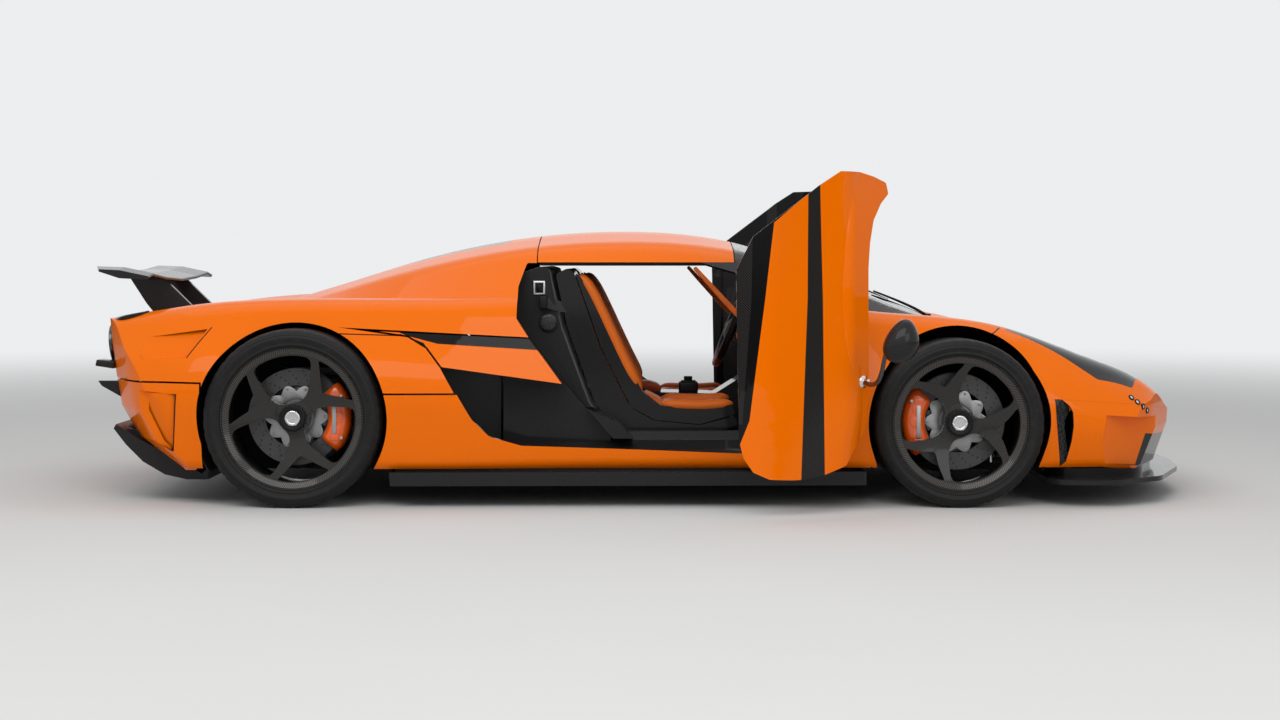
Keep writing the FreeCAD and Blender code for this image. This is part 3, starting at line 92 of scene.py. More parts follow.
class Shader(Graph):
    """One procedural material."""

    def __init__(self, name, **settings):
        self.material = bpy.data.materials.new(name)
        self.material.use_nodes = True
        super().__init__(self.material.node_tree)
        self.surface = self.tree.nodes["Principled BSDF"]
        coordinates = self.add("ShaderNodeTexCoord").outputs
        self.place, self.normal = coordinates["Object"], coordinates["Normal"]
        self.set(**settings)

    def set(self, **settings):
        """Values or links for the surface's own sockets, named with _ for a space."""
        for key, value in settings.items():
            self.feed(self.surface.inputs[key.replace("_", " ")], value)

    def vector(self, operation, *values):
        output = "Value" if operation in ("DOT_PRODUCT", "LENGTH") else "Vector"
        return self.made("ShaderNodeVectorMath", dict(enumerate(values)), output, operation=operation)

    def scaled(self, vector, factor):
        return self.made("ShaderNodeVectorMath", {0: vector, "Scale": factor}, "Vector", operation="SCALE")

    def split(self, vector=None):
        node = self.add("ShaderNodeSeparateXYZ")
        self.feed(node.inputs[0], vector or self.place)
        return tuple(node.outputs)

    def mix(self, factor, first, second):
        return self.made("ShaderNodeMix", {0: factor, 6: first, 7: second}, 2, data_type="RGBA")

    def blend(self, factor, first, second):
        """Number that goes from first to second as factor goes from 0 to 1."""
        return self.math("MULTIPLY_ADD", factor, second - first, first)

    def noise(self, scale, detail=2.0, rough=0.5, place=None):
        return self.made("ShaderNodeTexNoise", {"Vector": place or self.place, "Scale": scale, "Detail": detail,
                                                "Roughness": rough}, "Fac")

    def cells(self, scale, feature="F1"):
        return self.made("ShaderNodeTexVoronoi", {"Vector": self.place, "Scale": scale}, "Distance", feature=feature)

    def ramp(self, value, low, high):
        """0 below low, 1 above high, smooth between."""
        return self.made("ShaderNodeMapRange", {"Value": value, "From Min": low, "From Max": high}, "Result",
                         interpolation_type="SMOOTHSTEP")

    def band(self, value, rise, fall):
        """1 between the two ramps, each a pair of values."""
        return self.times(self.ramp(value, *rise), self.ramp(value, *fall))

    def reach(self, first, second):
        """Distance from an axis, out of the two coordinates across it."""
        return self.math("SQRT", self.plus(self.times(first, first), self.times(second, second)))

    def off_middle(self, value):
        """Distance of a value from the middle between whole numbers, 0 to 0.5."""
        return self.absolute(self.minus(self.math("FRACT", value), 0.5))

    def bump(self, height, distance, strength=1.0):
        return self.made("ShaderNodeBump", {"Height": height, "Distance": distance, "Strength": strength}, "Normal")

    def inside(self, points, soft=0.0006):
        """1 inside a convex outline of (x, z) points in millimetres, seen from the side, listed clockwise or not."""
        corners = [(x / 1000, z / 1000) for x, z in points]
        if sum(a[0] * b[1] - b[0] * a[1] for a, b in zip(corners, corners[1:] + corners[:1])) < 0:
            corners.reverse()
        x, y, z = self.split()
        depth = None
        for a, b in zip(corners, corners[1:] + corners[:1]):
            length = math.hypot(b[0] - a[0], b[1] - a[1])
            nx, nz = -(b[1] - a[1]) / length, (b[0] - a[0]) / length
            along = self.math("MULTIPLY_ADD", x, nx, -(nx * a[0] + nz * a[1]))
            edge = self.math("MULTIPLY_ADD", z, nz, along)
            depth = edge if depth is None else self.math("MINIMUM", depth, edge)
        return self.ramp(depth, -soft, soft)

    def line(self, points, half_width, soft=0.0007):
        """1 on a polyline of (x, z) points in millimetres, seen from the side."""
        x, y, z = self.split()
        flat = self.made("ShaderNodeCombineXYZ", {0: x, 1: z})
        near = None
        for (ax, az), (bx, bz) in zip(points, points[1:]):
            start = Vector((ax / 1000, az / 1000, 0))
            step = Vector((bx / 1000, bz / 1000, 0)) - start
            away = self.vector("SUBTRACT", flat, start)
            share = self.math("MULTIPLY", self.vector("DOT_PRODUCT", away, step), 1 / step.length_squared, clamp=True)
            gap = self.vector("LENGTH", self.vector("SUBTRACT", away, self.scaled(step, share)))
            near = gap if near is None else self.math("MINIMUM", near, gap)
        half = half_width / 1000
        return self.ramp(near, half + soft, half - soft)

    def union(self, *masks):
        total = masks[0]
        for mask in masks[1:]:
            total = self.math("MAXIMUM", total, mask)
        return total


def grey(tone):
    return (tone, tone, tone, 1)


def shade(color, *factors):
    """Colour with one factor for all its channels, or one for each."""
    return tuple(part * factor for part, factor in zip(color, factors * (3 // len(factors)))) + (1,)


def twill(shader, tow=0.0026):
    """Height and tone of a 2 x 2 twill weave, laid on the two axes that the surface faces least."""
    x, y, z = shader.split(shader.scaled(shader.place, 1 / tow))
    nx, ny, nz = (shader.absolute(part) for part in shader.split(shader.normal))
    faces_x = shader.math("GREATER_THAN", nx, shader.math("MAXIMUM", ny, nz))
    faces_y = shader.math("GREATER_THAN", ny, shader.math("MAXIMUM", nx, nz))
    faces_z = shader.minus(1.0, shader.plus(faces_x, faces_y))
    u = shader.plus(shader.times(x, shader.minus(1.0, faces_x)), shader.times(y, faces_x))
    v = shader.plus(shader.times(z, shader.minus(1.0, faces_z)), shader.times(y, faces_z))
    turn = shader.plus(shader.math("FLOOR", u), shader.math("FLOOR", v))
    quarter = shader.minus(turn, shader.times(shader.math("FLOOR", shader.times(turn, 0.25)), 4.0))
    warp = shader.math("LESS_THAN", quarter, 1.5)
    across = shader.plus(shader.times(shader.off_middle(u), warp),
                         shader.times(shader.off_middle(v), shader.minus(1.0, warp)))
    return shader.minus(1.0, shader.times(across, shader.times(across, 3.6))), warp


@cache
def carbon(tow=2.2, gloss=0.05):
    """Woven carbon under clear lacquer, its weave drawn in painted sheen and shade."""
    shader = Shader(f"carbon_{tow}_{gloss}", Metallic=0.0, Coat_Weight=0.8, Coat_Roughness=gloss,
                    Coat_IOR=1.26, Specular_IOR_Level=0.08)
    crown, warp = twill(shader, tow / 1000)
    cloud = shader.noise(3.0, 2)
    # Painted sheen and shade: each tow lighter on its crown and darker at its edges, the warp tows a lighter copy of
    # the weft tows
    dark = shader.mix(crown, (0.002, 0.002, 0.0022, 1), (0.009, 0.009, 0.01, 1))
    light = shader.mix(crown, (0.006, 0.006, 0.0065, 1), (0.04, 0.039, 0.041, 1))
    tone = shader.mix(warp, dark, light)
    shader.set(Base_Color=shader.mix(shader.times(cloud, 0.25), tone, (0.012, 0.012, 0.013, 1)),
               Roughness=shader.blend(warp, 0.42, 0.3), Normal=shader.bump(crown, 0.0002, 0.5))
    return shader.material


def paint_base(shader):
    """Clear-coated metallic orange: fine flakes, a faint ripple in the lacquer."""
    flake = shader.cells(1500)
    spark = shader.ramp(flake, 0.25, 0.6)
    cloud = shader.noise(1.6, 2)
    orange = shader.mix(spark, (1.0, 0.215, 0.0, 1), (0.95, 0.165, 0.0, 1))
    orange = shader.mix(shader.times(cloud, 0.18), orange, (0.9, 0.13, 0.0, 1))
    shader.set(Metallic=0.0, Coat_Weight=0.6, Coat_Roughness=0.02, Coat_IOR=1.3, Specular_IOR_Level=0.02)
    return orange


# Black areas of each painted panel, as convex outlines of (x, z) in millimetres seen from the side
PAINT_BLACKS = {
    "nose": [[(1632, 440), (1662, 432), (1694, 405), (1711, 325), (1706, 262), (1688, 180), (1664, 158)]],
    "tail": [[(-1900, 455), (-1866, 455), (-1888, 222), (-1902, 226)]],
    "roof": [[(-460, 990), (-444, 978), (-60, 996), (150, 1003), (-60, 1001), (-444, 984)]],
    "door": [[(623, 1345), (622, 834), (683, 834), (668, 1345)], [(622, 836), (595, 120), (691, 120), (683, 836)]],
    "blade": [[(-1100, 720), (-959, 684), (-893, 656), (-405, 624), (-330, 640), (-330, 720)]],
}
# Black edge of the side blade, as a polyline of (x, z) in millimetres
BLADE_EDGE = [(-985, 686), (-893, 652), (-858, 604), (-822, 556)]
# The carbon lower face of each door, with the smooth strip beside it
DOOR_WEAVE = [[(300, 1500), (300, 834), (403, 834), (412, 1500)], [(300, 835), (300, 360), (368, 360), (403, 835)]]
DOOR_SMOOTH = [[(0, 1133), (0, 834), (455, 834), (489, 1133)], [(0, 835), (0, 374), (395, 374), (455, 835)],
               [(0, 375), (0, 252), (346, 252), (395, 375)],
               [(0, 1700), (0, 1131), (489, 1131), (622, 1243), (1160, 1700)]]
# Shut lines that no gap between two panels gives, painted dark orange as the shade such a gap would hold
PAINT_LINES = {
    "clam": [[(-1317, 694.5), (-967, 684)], [(-1748, 716), (-1790, 660), (-1832, 598)]],
    "fenders": [[(1345, 652), (1440, 712)]],
}
INK = (0.006, 0.006, 0.0065, 1)


def outer_side(shader, kind):
    """1 on the faces of a panel that look out, 0 on the faces that look into the car."""
    x, y, z = shader.split()
    if kind == "door":
        aim = {0: 0.6, 1: shader.times(shader.math("SIGN", y), 0.8)}
        low, high = -0.12, -0.06
    elif kind == "roof":
        aim = {1: y, 2: shader.minus(z, 0.6)}
        low, high = -0.02, 0.02
    else:
        aim = {0: shader.times(x, 0.35), 1: y, 2: shader.math("MULTIPLY_ADD", z, 1.2, -0.5)}
        low, high = -0.06, 0.0
    facing = shader.vector("DOT_PRODUCT", shader.normal, shader.made("ShaderNodeCombineXYZ", aim))
    return shader.ramp(facing, low, high)


@cache
def paint(kind="plain"):
    """Body paint, with the black areas that a panel carries, shut lines painted as the shade in a gap, and its black
    inner face.
    """
    shader = Shader(f"paint_{kind}")
    color = paint_base(shader)
    blacks = [shader.inside(outline) for outline in PAINT_BLACKS.get(kind, [])]
    dark = INK
    if kind == "blade":
        blacks.append(shader.line(BLADE_EDGE, 5))
    elif kind == "door":
        weave = shader.union(*blacks, *[shader.inside(outline) for outline in DOOR_WEAVE])
        blacks = [weave] + [shader.inside(outline) for outline in DOOR_SMOOTH]
        crown, warp = twill(shader)
        # Carbon lower face of the door: the twill with painted sheen on tow crowns and warp tows, and painted shade
        # between tows
        cloth = shader.mix(crown, grey(0.002), shader.mix(warp, (0.009, 0.0085, 0.0085, 1), (0.05, 0.047, 0.045, 1)))
        dark = shader.mix(weave, INK, cloth)
    elif kind == "nose":
        dark = shader.mix(shader.ramp(shader.cells(140), 0.35, 0.5), grey(0.001), (0.03, 0.03, 0.031, 1))
    inward = shader.minus(1.0, outer_side(shader, kind))
    color = shader.mix(shader.union(inward, *blacks), color, dark)
    # Painted shade: a dark orange line along each shut line, for the shade inside a panel gap
    painted_gap_shade = [shader.line(points, 2.2) for points in PAINT_LINES.get(kind, [])]
    if painted_gap_shade:
        color = shader.mix(shader.union(*painted_gap_shade), color, (0.012, 0.003, 0.001, 1))
    ripple = shader.bump(shader.noise(260, 1), 0.00004, 0.25)
    shader.set(Base_Color=color, Roughness=shader.blend(inward, 0.28, 0.6), Normal=ripple)
    return shader.material


@cache
def plastic(rough=0.45, tone=0.012):
    """Moulded black plastic with a fine grain."""
    shader = Shader(f"plastic_{rough}_{tone}", Specular_IOR_Level=0.18)
    grain = shader.cells(900)
    cloud = shader.noise(40, 3)
    shader.set(Base_Color=shader.mix(cloud, grey(tone * 0.7), grey(tone * 1.3)),
               Roughness=shader.blend(cloud, rough - 0.06, rough + 0.08), Normal=shader.bump(grain, 0.00025, 0.35))
    return shader.material


@cache
def metal(tone=0.55, rough=0.25):
    """Machined metal with fine turning marks."""
    shader = Shader(f"metal_{tone}_{rough}", Metallic=1.0)
    streak = shader.noise(700, 2, place=shader.vector("MULTIPLY", shader.place, (1.0, 0.05, 1.0)))
    shader.set(Base_Color=shader.mix(streak, grey(tone * 0.85), grey(tone * 1.1)),
               Roughness=shader.blend(streak, rough - 0.05, rough + 0.12), Normal=shader.bump(streak, 0.00005, 0.3))
    return shader.material


@cache
def lacquer(red, green, blue, rough=0.25):
    """Smooth coloured lacquer with a little dust of tone."""
    color = (red, green, blue)
    shader = Shader(f"lacquer_{red}_{green}_{blue}", Coat_Weight=0.8, Coat_Roughness=0.06)
    cloud = shader.noise(60, 3)
    shader.set(Base_Color=shader.mix(cloud, shade(color, 0.85), shade(color, 1)),
               Roughness=shader.blend(cloud, rough, rough + 0.12), Normal=shader.bump(cloud, 0.0001, 0.15))
    return shader.material


@cache
def leather(red, green, blue):
    """Grained leather: pebbles, fine creases darkened as painted shade, and slow changes of tone."""
    color = (red, green, blue)
    shader = Shader(f"leather_{red}_{green}_{blue}", Sheen_Weight=0.08, Specular_IOR_Level=0.35)
    crease = shader.ramp(shader.cells(520, "DISTANCE_TO_EDGE"), 0.0, 0.16)
    cloud = shader.noise(9, 4)
    hide = shader.mix(cloud, shade(color, 0.78, 0.75, 0.72), shade(color, 1))
    # Painted shade: the creases take a darker copy of the hide
    shader.set(Base_Color=shader.mix(crease, shade(color, 0.5, 0.42, 0.4), hide),
               Roughness=shader.blend(cloud, 0.42, 0.56), Normal=shader.bump(crease, 0.0004, 0.5))
    return shader.material


@cache
def suede(tone=0.02):
    """Dark napped suede."""
    shader = Shader(f"suede_{tone}", Sheen_Weight=0.5, Sheen_Roughness=0.4, Roughness=0.9)
    nap = shader.noise(420, 4, 0.7)
    cloud = shader.noise(14, 3)
    shader.set(Base_Color=shader.mix(cloud, grey(tone * 0.7), grey(tone * 1.4)),
               Normal=shader.bump(nap, 0.0005, 0.4))
    return shader.material


@cache
def rubber(tone=0.018, rough=0.6):
    """Black rubber with patches of paler dust."""
    shader = Shader(f"rubber_{tone}_{rough}", Specular_IOR_Level=0.2)
    dust = shader.noise(30, 5, 0.65)
    fine = shader.noise(800, 2)
    shader.set(Base_Color=shader.mix(shader.ramp(dust, 0.45, 0.8), grey(tone), shade(grey(tone)[:3], 1.9, 1.8, 1.7)),
               Roughness=shader.blend(dust, rough - 0.08, rough + 0.15), Normal=shader.bump(fine, 0.0002, 0.3))
    return shader.material


@cache
def glass(tint=0.5, rough=0.0):
    """Tinted glass with a faint unevenness."""
    shader = Shader(f"glass_{tint}_{rough}", Transmission_Weight=1.0, IOR=1.45, Roughness=rough)
    wave = shader.noise(4, 1)
    shader.set(Base_Color=shader.mix(wave, (tint, tint * 1.02, tint, 1), (tint * 0.94, tint * 0.97, tint * 0.97, 1)),
               Normal=shader.bump(wave, 0.0002, 0.05))
    return shader.material


@cache
def glow(red, green, blue):
    """Lens of a lamp that isn't lit: coloured, with a fine pattern of ribs."""
    color = (red, green, blue)
    shader = Shader(f"lens_{red}_{green}_{blue}", Coat_Weight=1.0, Coat_Roughness=0.03)
    ribs = shader.made("ShaderNodeTexWave", {"Vector": shader.place, "Scale": 90.0}, "Fac", wave_type="BANDS",
                       bands_direction="Z")
    shader.set(Base_Color=shader.mix(ribs, shade(color, 0.6), shade(color, 1)), Roughness=0.2,
               Normal=shader.bump(ribs, 0.0005, 0.4))
    return shader.material


def dress(node, material):
    """Finish for a CAD node."""
    item = NODES[node]
    item.data.materials.clear()
    item.data.materials.append(material)


def mesh_of(name, points, faces):
    """Mesh from points in millimetres."""
    mesh = bpy.data.meshes.new(name)
    mesh.from_pydata([(x / 1000, y / 1000, z / 1000) for x, y, z in points], [], faces)
    mesh.update()
    return mesh


def tidy_mesh(mesh, merge=1e-6):
    """Merge doubles and turn the faces outward."""
    work = bmesh.new()
    work.from_mesh(mesh)
    bmesh.ops.remove_doubles(work, verts=work.verts, dist=merge)
    bmesh.ops.dissolve_degenerate(work, edges=work.edges, dist=merge)
    bmesh.ops.recalc_face_normals(work, faces=work.faces)
    work.to_mesh(mesh)
    work.free()
    return mesh


def piece(name, mesh, body, material, place=(0, 0, 0), angle=38):
    """A visible piece that rides on a body; place is in millimetres."""
    item = bpy.data.objects.new(name, mesh)
    item.location = [value / 1000 for value in place]
    bpy.context.collection.objects.link(item)
    mesh.materials.clear()
    mesh.materials.append(material)
    for face in mesh.polygons:
        face.use_smooth = True
    mesh.set_sharp_from_angle(angle=math.radians(angle))
    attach(item, body)
    return item


def baked(item):
    """The object's mesh with its modifiers applied; the object goes."""
    bpy.context.view_layer.update()
    mesh = bpy.data.meshes.new_from_object(item.evaluated_get(bpy.context.evaluated_depsgraph_get()))
    bpy.data.objects.remove(item)
    return mesh


def loose(mesh):
    item = bpy.data.objects.new("work", mesh)
    bpy.context.collection.objects.link(item)
    return item


def modified(mesh, kind, **settings):
    """Mesh with one modifier applied."""
    item = loose(mesh)
    change = item.modifiers.new(kind.lower(), kind)
    for key, value in settings.items():
        setattr(change, key, value)
    return baked(item)


def bevelled(mesh, width, segments=2, angle=30):
    """Mesh with its sharp edges rounded, width in millimetres."""
    return modified(mesh, "BEVEL", width=width / 1000, segments=segments, limit_method="ANGLE",
                    angle_limit=math.radians(angle), use_clamp_overlap=True)


def subdivided(mesh):
    return modified(mesh, "SUBSURF", levels=1)


def cut_away(mesh, tool):
    cutter = loose(tool)
    result = modified(mesh, "BOOLEAN", operation="DIFFERENCE", solver="EXACT", object=cutter)
    bpy.data.objects.remove(cutter)
    return result


def joined(meshes):
    """One mesh out of several."""
    work = bmesh.new()
    for mesh in meshes:
        work.from_mesh(mesh)
    total = bpy.data.meshes.new("joined")
    work.to_mesh(total)
    work.free()
    return total


def flipped(mesh):
    """Mirror image across the car."""
    copy = mesh.copy()
    copy.transform(Matrix.Scale(-1, 4, (0, 1, 0)))
    copy.flip_normals()
    return copy


def carried(mesh, matrix):
    copy = mesh.copy()
    copy.transform(matrix)
    return copy


def polar(radius, angle):
    return radius * math.cos(angle), radius * math.sin(angle)


def circle(radius, steps, x=0, z=0):
    """Closed outline on a circle around a point."""
    return [(x + a, z + b) for a, b in (polar(radius, TAU * k / steps) for k in range(steps))]


def hoops(sides, rings, whole=False):
    """Faces between rings of points; the end rings are capped, or joined where the rings go all the way round."""
    faces = []
    for ring in range(rings if whole else rings - 1):
        here, there = ring * sides, (ring + 1) % rings * sides
        for k in range(sides):
            after = (k + 1) % sides
            faces.append((here + k, here + after, there + after, there + k))
    if not whole:
        faces += [tuple(reversed(range(sides))), tuple(range((rings - 1) * sides, rings * sides))]
    return faces


def ringed(points, sides, whole=False):
    """Closed mesh through rings of points, each with so many sides."""
    return tidy_mesh(mesh_of("ringed", points, hoops(sides, len(points) // sides, whole)))


def lathe(profile, steps, dent=None, arc=TAU, start=0.0):
    """Mesh turned about Y from a closed outline of (radius, place along Y) in millimetres."""
    whole = arc == TAU
    points = []
    for turn in range(steps if whole else steps + 1):
        for index, (radius, along) in enumerate(profile):
            x, z = polar(radius - (dent(index, turn) if dent else 0), start + arc * turn / steps)
            points.append((x, along, z))
    return ringed(points, len(profile), whole)


def slab(outline, low, high):
    """Prism of a closed outline of (x, z), swept along Y."""
    count = len(outline)
    points = [(x, y, z) for y in (low, high) for x, z in outline]
    faces = [tuple(range(count)), tuple(reversed(range(count, 2 * count)))]
    for index in range(count):
        after = (index + 1) % count
        faces.append((index, count + index, count + after, after))
    return tidy_mesh(mesh_of("slab", points, faces))


def corner_cut(points, rounds=2):
    """Closed outline with its corners cut to a smooth curve."""
    for _ in range(rounds):
        smoother = []
        for (ax, ay), (bx, by) in zip(points, points[1:] + points[:1]):
            smoother.append((0.75 * ax + 0.25 * bx, 0.75 * ay + 0.25 * by))
            smoother.append((0.25 * ax + 0.75 * bx, 0.25 * ay + 0.75 * by))
        points = smoother
    return points


def tube(points, radius, sides=12, taper=None, steps=6):
    """Round bar along a smooth line through the points, in millimetres."""
    line = [Vector(point) for point in points]
    path = []
    for index in range(len(line) - 1):
        before = line[max(index - 1, 0)]
        start, end = line[index], line[index + 1]
        after = line[min(index + 2, len(line) - 1)]
        for step in range(steps):
            t = step / steps
            path.append(0.5 * (2 * start + (end - before) * t + (2 * before - 5 * start + 4 * end - after) * t ** 2
                               + (3 * start - before - 3 * end + after) * t ** 3))
    path.append(line[-1])
    verts = []
    side = None
    for index, point in enumerate(path):
        run = (path[min(index + 1, len(path) - 1)] - path[max(index - 1, 0)]).normalized()
        side = run.orthogonal() if side is None else side - run * side.dot(run)
        side.normalize()
        other = run.cross(side)
        wide = radius if taper is None else radius + (taper - radius) * index / (len(path) - 1)
        verts += [point + side * a + other * b for a, b in circle(wide, sides)]
    return ringed(verts, sides)


AXLES = {
    "front": dict(x=1254.5, track=850, radius=337, half=132.5, rim=268, arms=(-10, 110, 230), lead=180),
    "rear": dict(x=-1407.5, track=825, radius=357, half=167.5, rim=282, arms=(41, 161, 281), lead=0),
}
# Depths from a tyre's outer side to the wheel's face, to the disc and to the end of the hub, and the disc's thickness
FACE_INSET = 26
DISC_INSET = 128
HUB_INSET = 134
DISC_THICK = 34


def tyre_mesh(axle):
    """Tyre with bead, raised rings, shoulder sipes and four grooves; outboard is -Y."""
    rim, radius, half = axle["rim"], axle["radius"], axle["half"]
    outer = [(rim + 1, half - 24), (rim + 3, half - 14), (rim + 5, half - 8), (rim + 10, half - 4),
             (rim + 14, half - 3), (rim + 17, half - 5), (rim + 20, half - 4.5), (rim + 26, half - 1.6),
             (rim + 29, half - 1.6), (rim + 30, half - 0.8), (radius - 36, half), (radius - 30, half - 0.2),
             (radius - 29, half - 1.2), (radius - 24, half - 1.8), (radius - 23, half - 0.8), (radius - 20, half - 1.6),
             (radius - 19, half - 3.2), (radius - 14, half - 5.5), (radius - 9, half - 9.5), (radius - 5, half - 15),
             (radius - 2.5, half - 22), (radius - 1, half - 31)]
    for middle in (0.86 * (half - 36), 0.34 * (half - 36)):
        outer += [(radius - 0.4, middle + 6), (radius - 7, middle + 4.6), (radius - 7, middle - 4.6),
                  (radius - 0.2, middle - 6)]
    profile = [(r, -y) for r, y in outer] + [(r, y) for r, y in reversed(outer)]
    profile += [(rim + 1, half - 30), (rim + 1, -half + 30)]

    def sipe(index, turn):
        shoulder_point = min(index, 2 * len(outer) - 1 - index) in range(17, 22)
        return 2.6 if shoulder_point and turn % 4 == 0 else 0
    return lathe(profile, 176, sipe)


def window(points, middle):
    """Closed outline in millimetres from (radius, angle) pairs about a middle direction."""
    return corner_cut([polar(r, math.radians(middle + a)) for r, a in points], 2)


def rim_meshes(axle):
    """Spoked face with its hub, and the barrel behind it; outboard is -Y."""
    rim, half = axle["rim"], axle["half"]
    face = half - FACE_INSET
    grow = rim - 268
    front = [(rim + 5, face + 4), (rim + 5.5, face + 10), (rim + 3, face + 13.5), (rim - 1, face + 13.5),
             (rim - 3, face + 10), (rim - 5, face + 8), (rim - 24, face + 3), (rim - 27, face), (rim - 34, face - 1),
             (215 + grow * 0.7, face - 5), (190, face - 11), (160, face - 19), (130, face - 25), (105, face - 29),
             (84, face - 31), (68, face - 31), (58, face - 28), (0, face - 28)]
    hub_end = half - HUB_INSET + 0.3
    back = [(0, hub_end), (50, hub_end), (50, face - 66), (66, face - 62), (95, face - 60), (135, face - 52),
            (185, face - 40), (rim - 42, face - 30), (rim - 14, face - 24), (rim - 9, face - 24), (rim - 4, face - 8)]
    body = lathe([(r, -y) for r, y in front + back], 120)
    big = [(rim - 32, -26), (rim - 31, -18), (rim - 31, -9), (rim - 31, 0), (rim - 31, 9), (rim - 31, 18),
           (rim - 32, 26), (rim - 50, 30), (185, 33), (150, 37), (118, 40), (92, 40), (72, 34), (61, 18), (58, 0),
           (61, -18), (72, -34), (92, -40), (118, -40), (150, -37), (185, -33), (rim - 50, -30)]
    small = [(rim - 29, -25), (rim - 28, -17), (rim - 28, -8), (rim - 28, 0), (rim - 28, 8), (rim - 28, 17),
             (rim - 29, 25), (rim - 44, 22.5), (195, 14.5), (165, 6), (152, 0), (165, -6), (195, -14.5),
             (rim - 44, -22.5)]
    holes = []
    for arm in axle["arms"]:
        holes += [slab(window(big, arm + 60), -half - 20, 40), slab(window(small, arm), -half - 20, 40)]
    spoked = bevelled(cut_away(body, joined(holes)), 2.6, 2, 42)
    barrel = lathe([(r, -y) for r, y in [
        (rim - 1, face + 2), (rim - 10, face - 2), (rim - 12, face - 30), (rim - 14, face - 60), (rim - 12, -20),
        (rim - 10, -half + 34), (rim - 8, -half + 22), (rim - 2, -half + 10), (rim + 4, -half + 11),
        (rim + 4, -half + 16), (rim - 1, -half + 20)]], 96)
    return spoked, barrel


def toothed_ring(outer, inner, low, high, teeth, depth):
    """Flat ring with a toothed outer edge, swept along Y."""
    steps = teeth * 4
    points = [polar(outer - (depth if step % 4 < 2 else 0), TAU * step / steps) for step in range(steps)]
    return cut_away(slab(points, low, high), slab(circle(inner, 48), low - 5, high + 5))


def disc_mesh(front, back):
    """Drilled brake disc; outboard is -Y."""
    ring = lathe([(196, -front + 1.5), (194.5, -front), (126, -front), (124, -front + 2), (124, -back - 2),
                  (126, -back), (194.5, -back), (196, -back - 1.5), (196, -back - 9), (190, -back - 10),
                  (190, -front + 10), (196, -front + 9)], 96)
    holes = [slab(circle(3.1, 8, *polar(135 + 17 * (step % 4), TAU * step / 84)), -front - 5, -front + 9)
             for step in range(84)]
    return cut_away(ring, joined(holes))


def carrier_mesh(front, inner_end):
    """Silver carrier of the disc: a lobed plate and the bell behind the wheel's hub."""
    outline = []
    for step in range(120):
        angle = TAU * step / 120
        outline.append(polar(104 + 24 * (0.5 + 0.5 * math.cos(10 * angle)) ** 0.6, angle))
    plate = cut_away(slab(outline, -front - 3, -front + 8), slab(circle(70, 48), -front - 20, -front + 30))
    bell = lathe([(80, -inner_end), (52, -inner_end), (52, -inner_end + 4), (74, -inner_end + 4),
                  (78, -front + 8), (84, -front + 8)], 64)
    bolts = [slab(circle(6, 6, *polar(117, TAU * step / 10)), -front - 7, -front - 2) for step in range(10)]
    return bevelled(joined([plate, bell] + bolts), 0.9, 2, 40)


def caliper_meshes(front, back, lead):
    """Block over the disc's edge, its bridge strip and bolts; lead is the direction it sits in."""
    wall = 31
    face = front + 5 + wall
    rear = back - 5 - wall
    middle = 176
    over_disc = 201
    section = [(130, face - 20), (138, face - 8), (152, face - 2), (middle, face), (196, face - 1), (212, face - 8),
               (222, face - 22), (224, (front + back) / 2), (222, back - 10), (212, rear + 4), (190, rear), (140, rear),
               (130, rear + 8), (130, back - 5), (over_disc, back - 5), (over_disc, front + 5), (130, front + 5)]
    span = math.radians(80)
    start = math.radians(lead) - span / 2
    steps = 28
    points = []
    for turn in range(steps + 1):
        share = turn / steps
        # The block's two ends draw in, and stay clear of the disc
        end = max(abs(share - 0.5) * 2 - 0.78, 0) / 0.22
        for radius, along in section:
            reach = radius if radius == over_disc else middle + (radius - middle) * (1 - 0.16 * end ** 2)
            lift = along if along < front else front + 5 + (along - front - 5) * (1 - 0.45 * end ** 2)
            x, z = polar(reach, start + span * share)
            points.append((x, -lift, z))
    forms = [ringed(points, len(section))]
    for share in (0.16, 0.84):
        x, z = polar(178, start + span * share)
        rib = [(x - 16, z - 12), (x + 16, z - 12), (x + 16, z + 12), (x - 16, z + 12)]
        forms.append(slab(rib, -face - 3, -face + 12))
    for share in (0.27, 0.5, 0.73):
        forms.append(slab(circle(21, 28, *polar(172, start + span * share)), -face - 2.4, -face + 10))
    nx, nz = polar(1, math.radians(lead))

    def at(out, along):
        return nx * out - nz * along, nz * out + nx * along
    strip = [slab([at(150, -66), at(166, -66), at(166, 66), at(150, 66)], -face - 6, -face + 4)]
    for along in (-84, 84):
        strip.append(slab(circle(7, 6, *at(186, along)), -face - 5, -face + 14))
    return bevelled(joined(forms), 1.6, 2, 35), bevelled(joined(strip), 1.0, 2, 35)


@cache
def rim_weave(rim):
    """Carbon of a wheel: twill on the arms and radial ribs of cloth in the band at the rim."""
    shader = Shader(f"rim_weave_{rim}", Coat_Weight=0.9, Coat_Roughness=0.08, Coat_IOR=1.3, Specular_IOR_Level=0.1)
    crown, warp = twill(shader)
    x, y, z = shader.split()
    radius = shader.reach(x, z)
    lean = shader.math("MULTIPLY_ADD", radius, 60.0, shader.times(shader.math("ARCTAN2", z, x), 216 / TAU))
    tick = shader.ramp(shader.off_middle(lean), 0.12, 0.3)
    band = shader.band(radius, ((rim - 27) / 1000, (rim - 26) / 1000), ((rim - 4) / 1000, (rim - 5) / 1000))
    # Twill on the arms: painted sheen on tow crowns and warp tows, and painted shade between tows
    cloth = shader.mix(crown, grey(0.003), shader.mix(warp, (0.012, 0.0115, 0.011, 1), (0.06, 0.056, 0.052, 1)))
    ribbed = shader.mix(tick, grey(0.004), (0.085, 0.078, 0.072, 1))
    shader.set(Base_Color=shader.mix(band, cloth, ribbed), Roughness=shader.blend(crown, 0.45, 0.3),
               Normal=shader.bump(shader.math("MAXIMUM", shader.times(band, tick), crown), 0.00025, 0.5))
    return shader.material


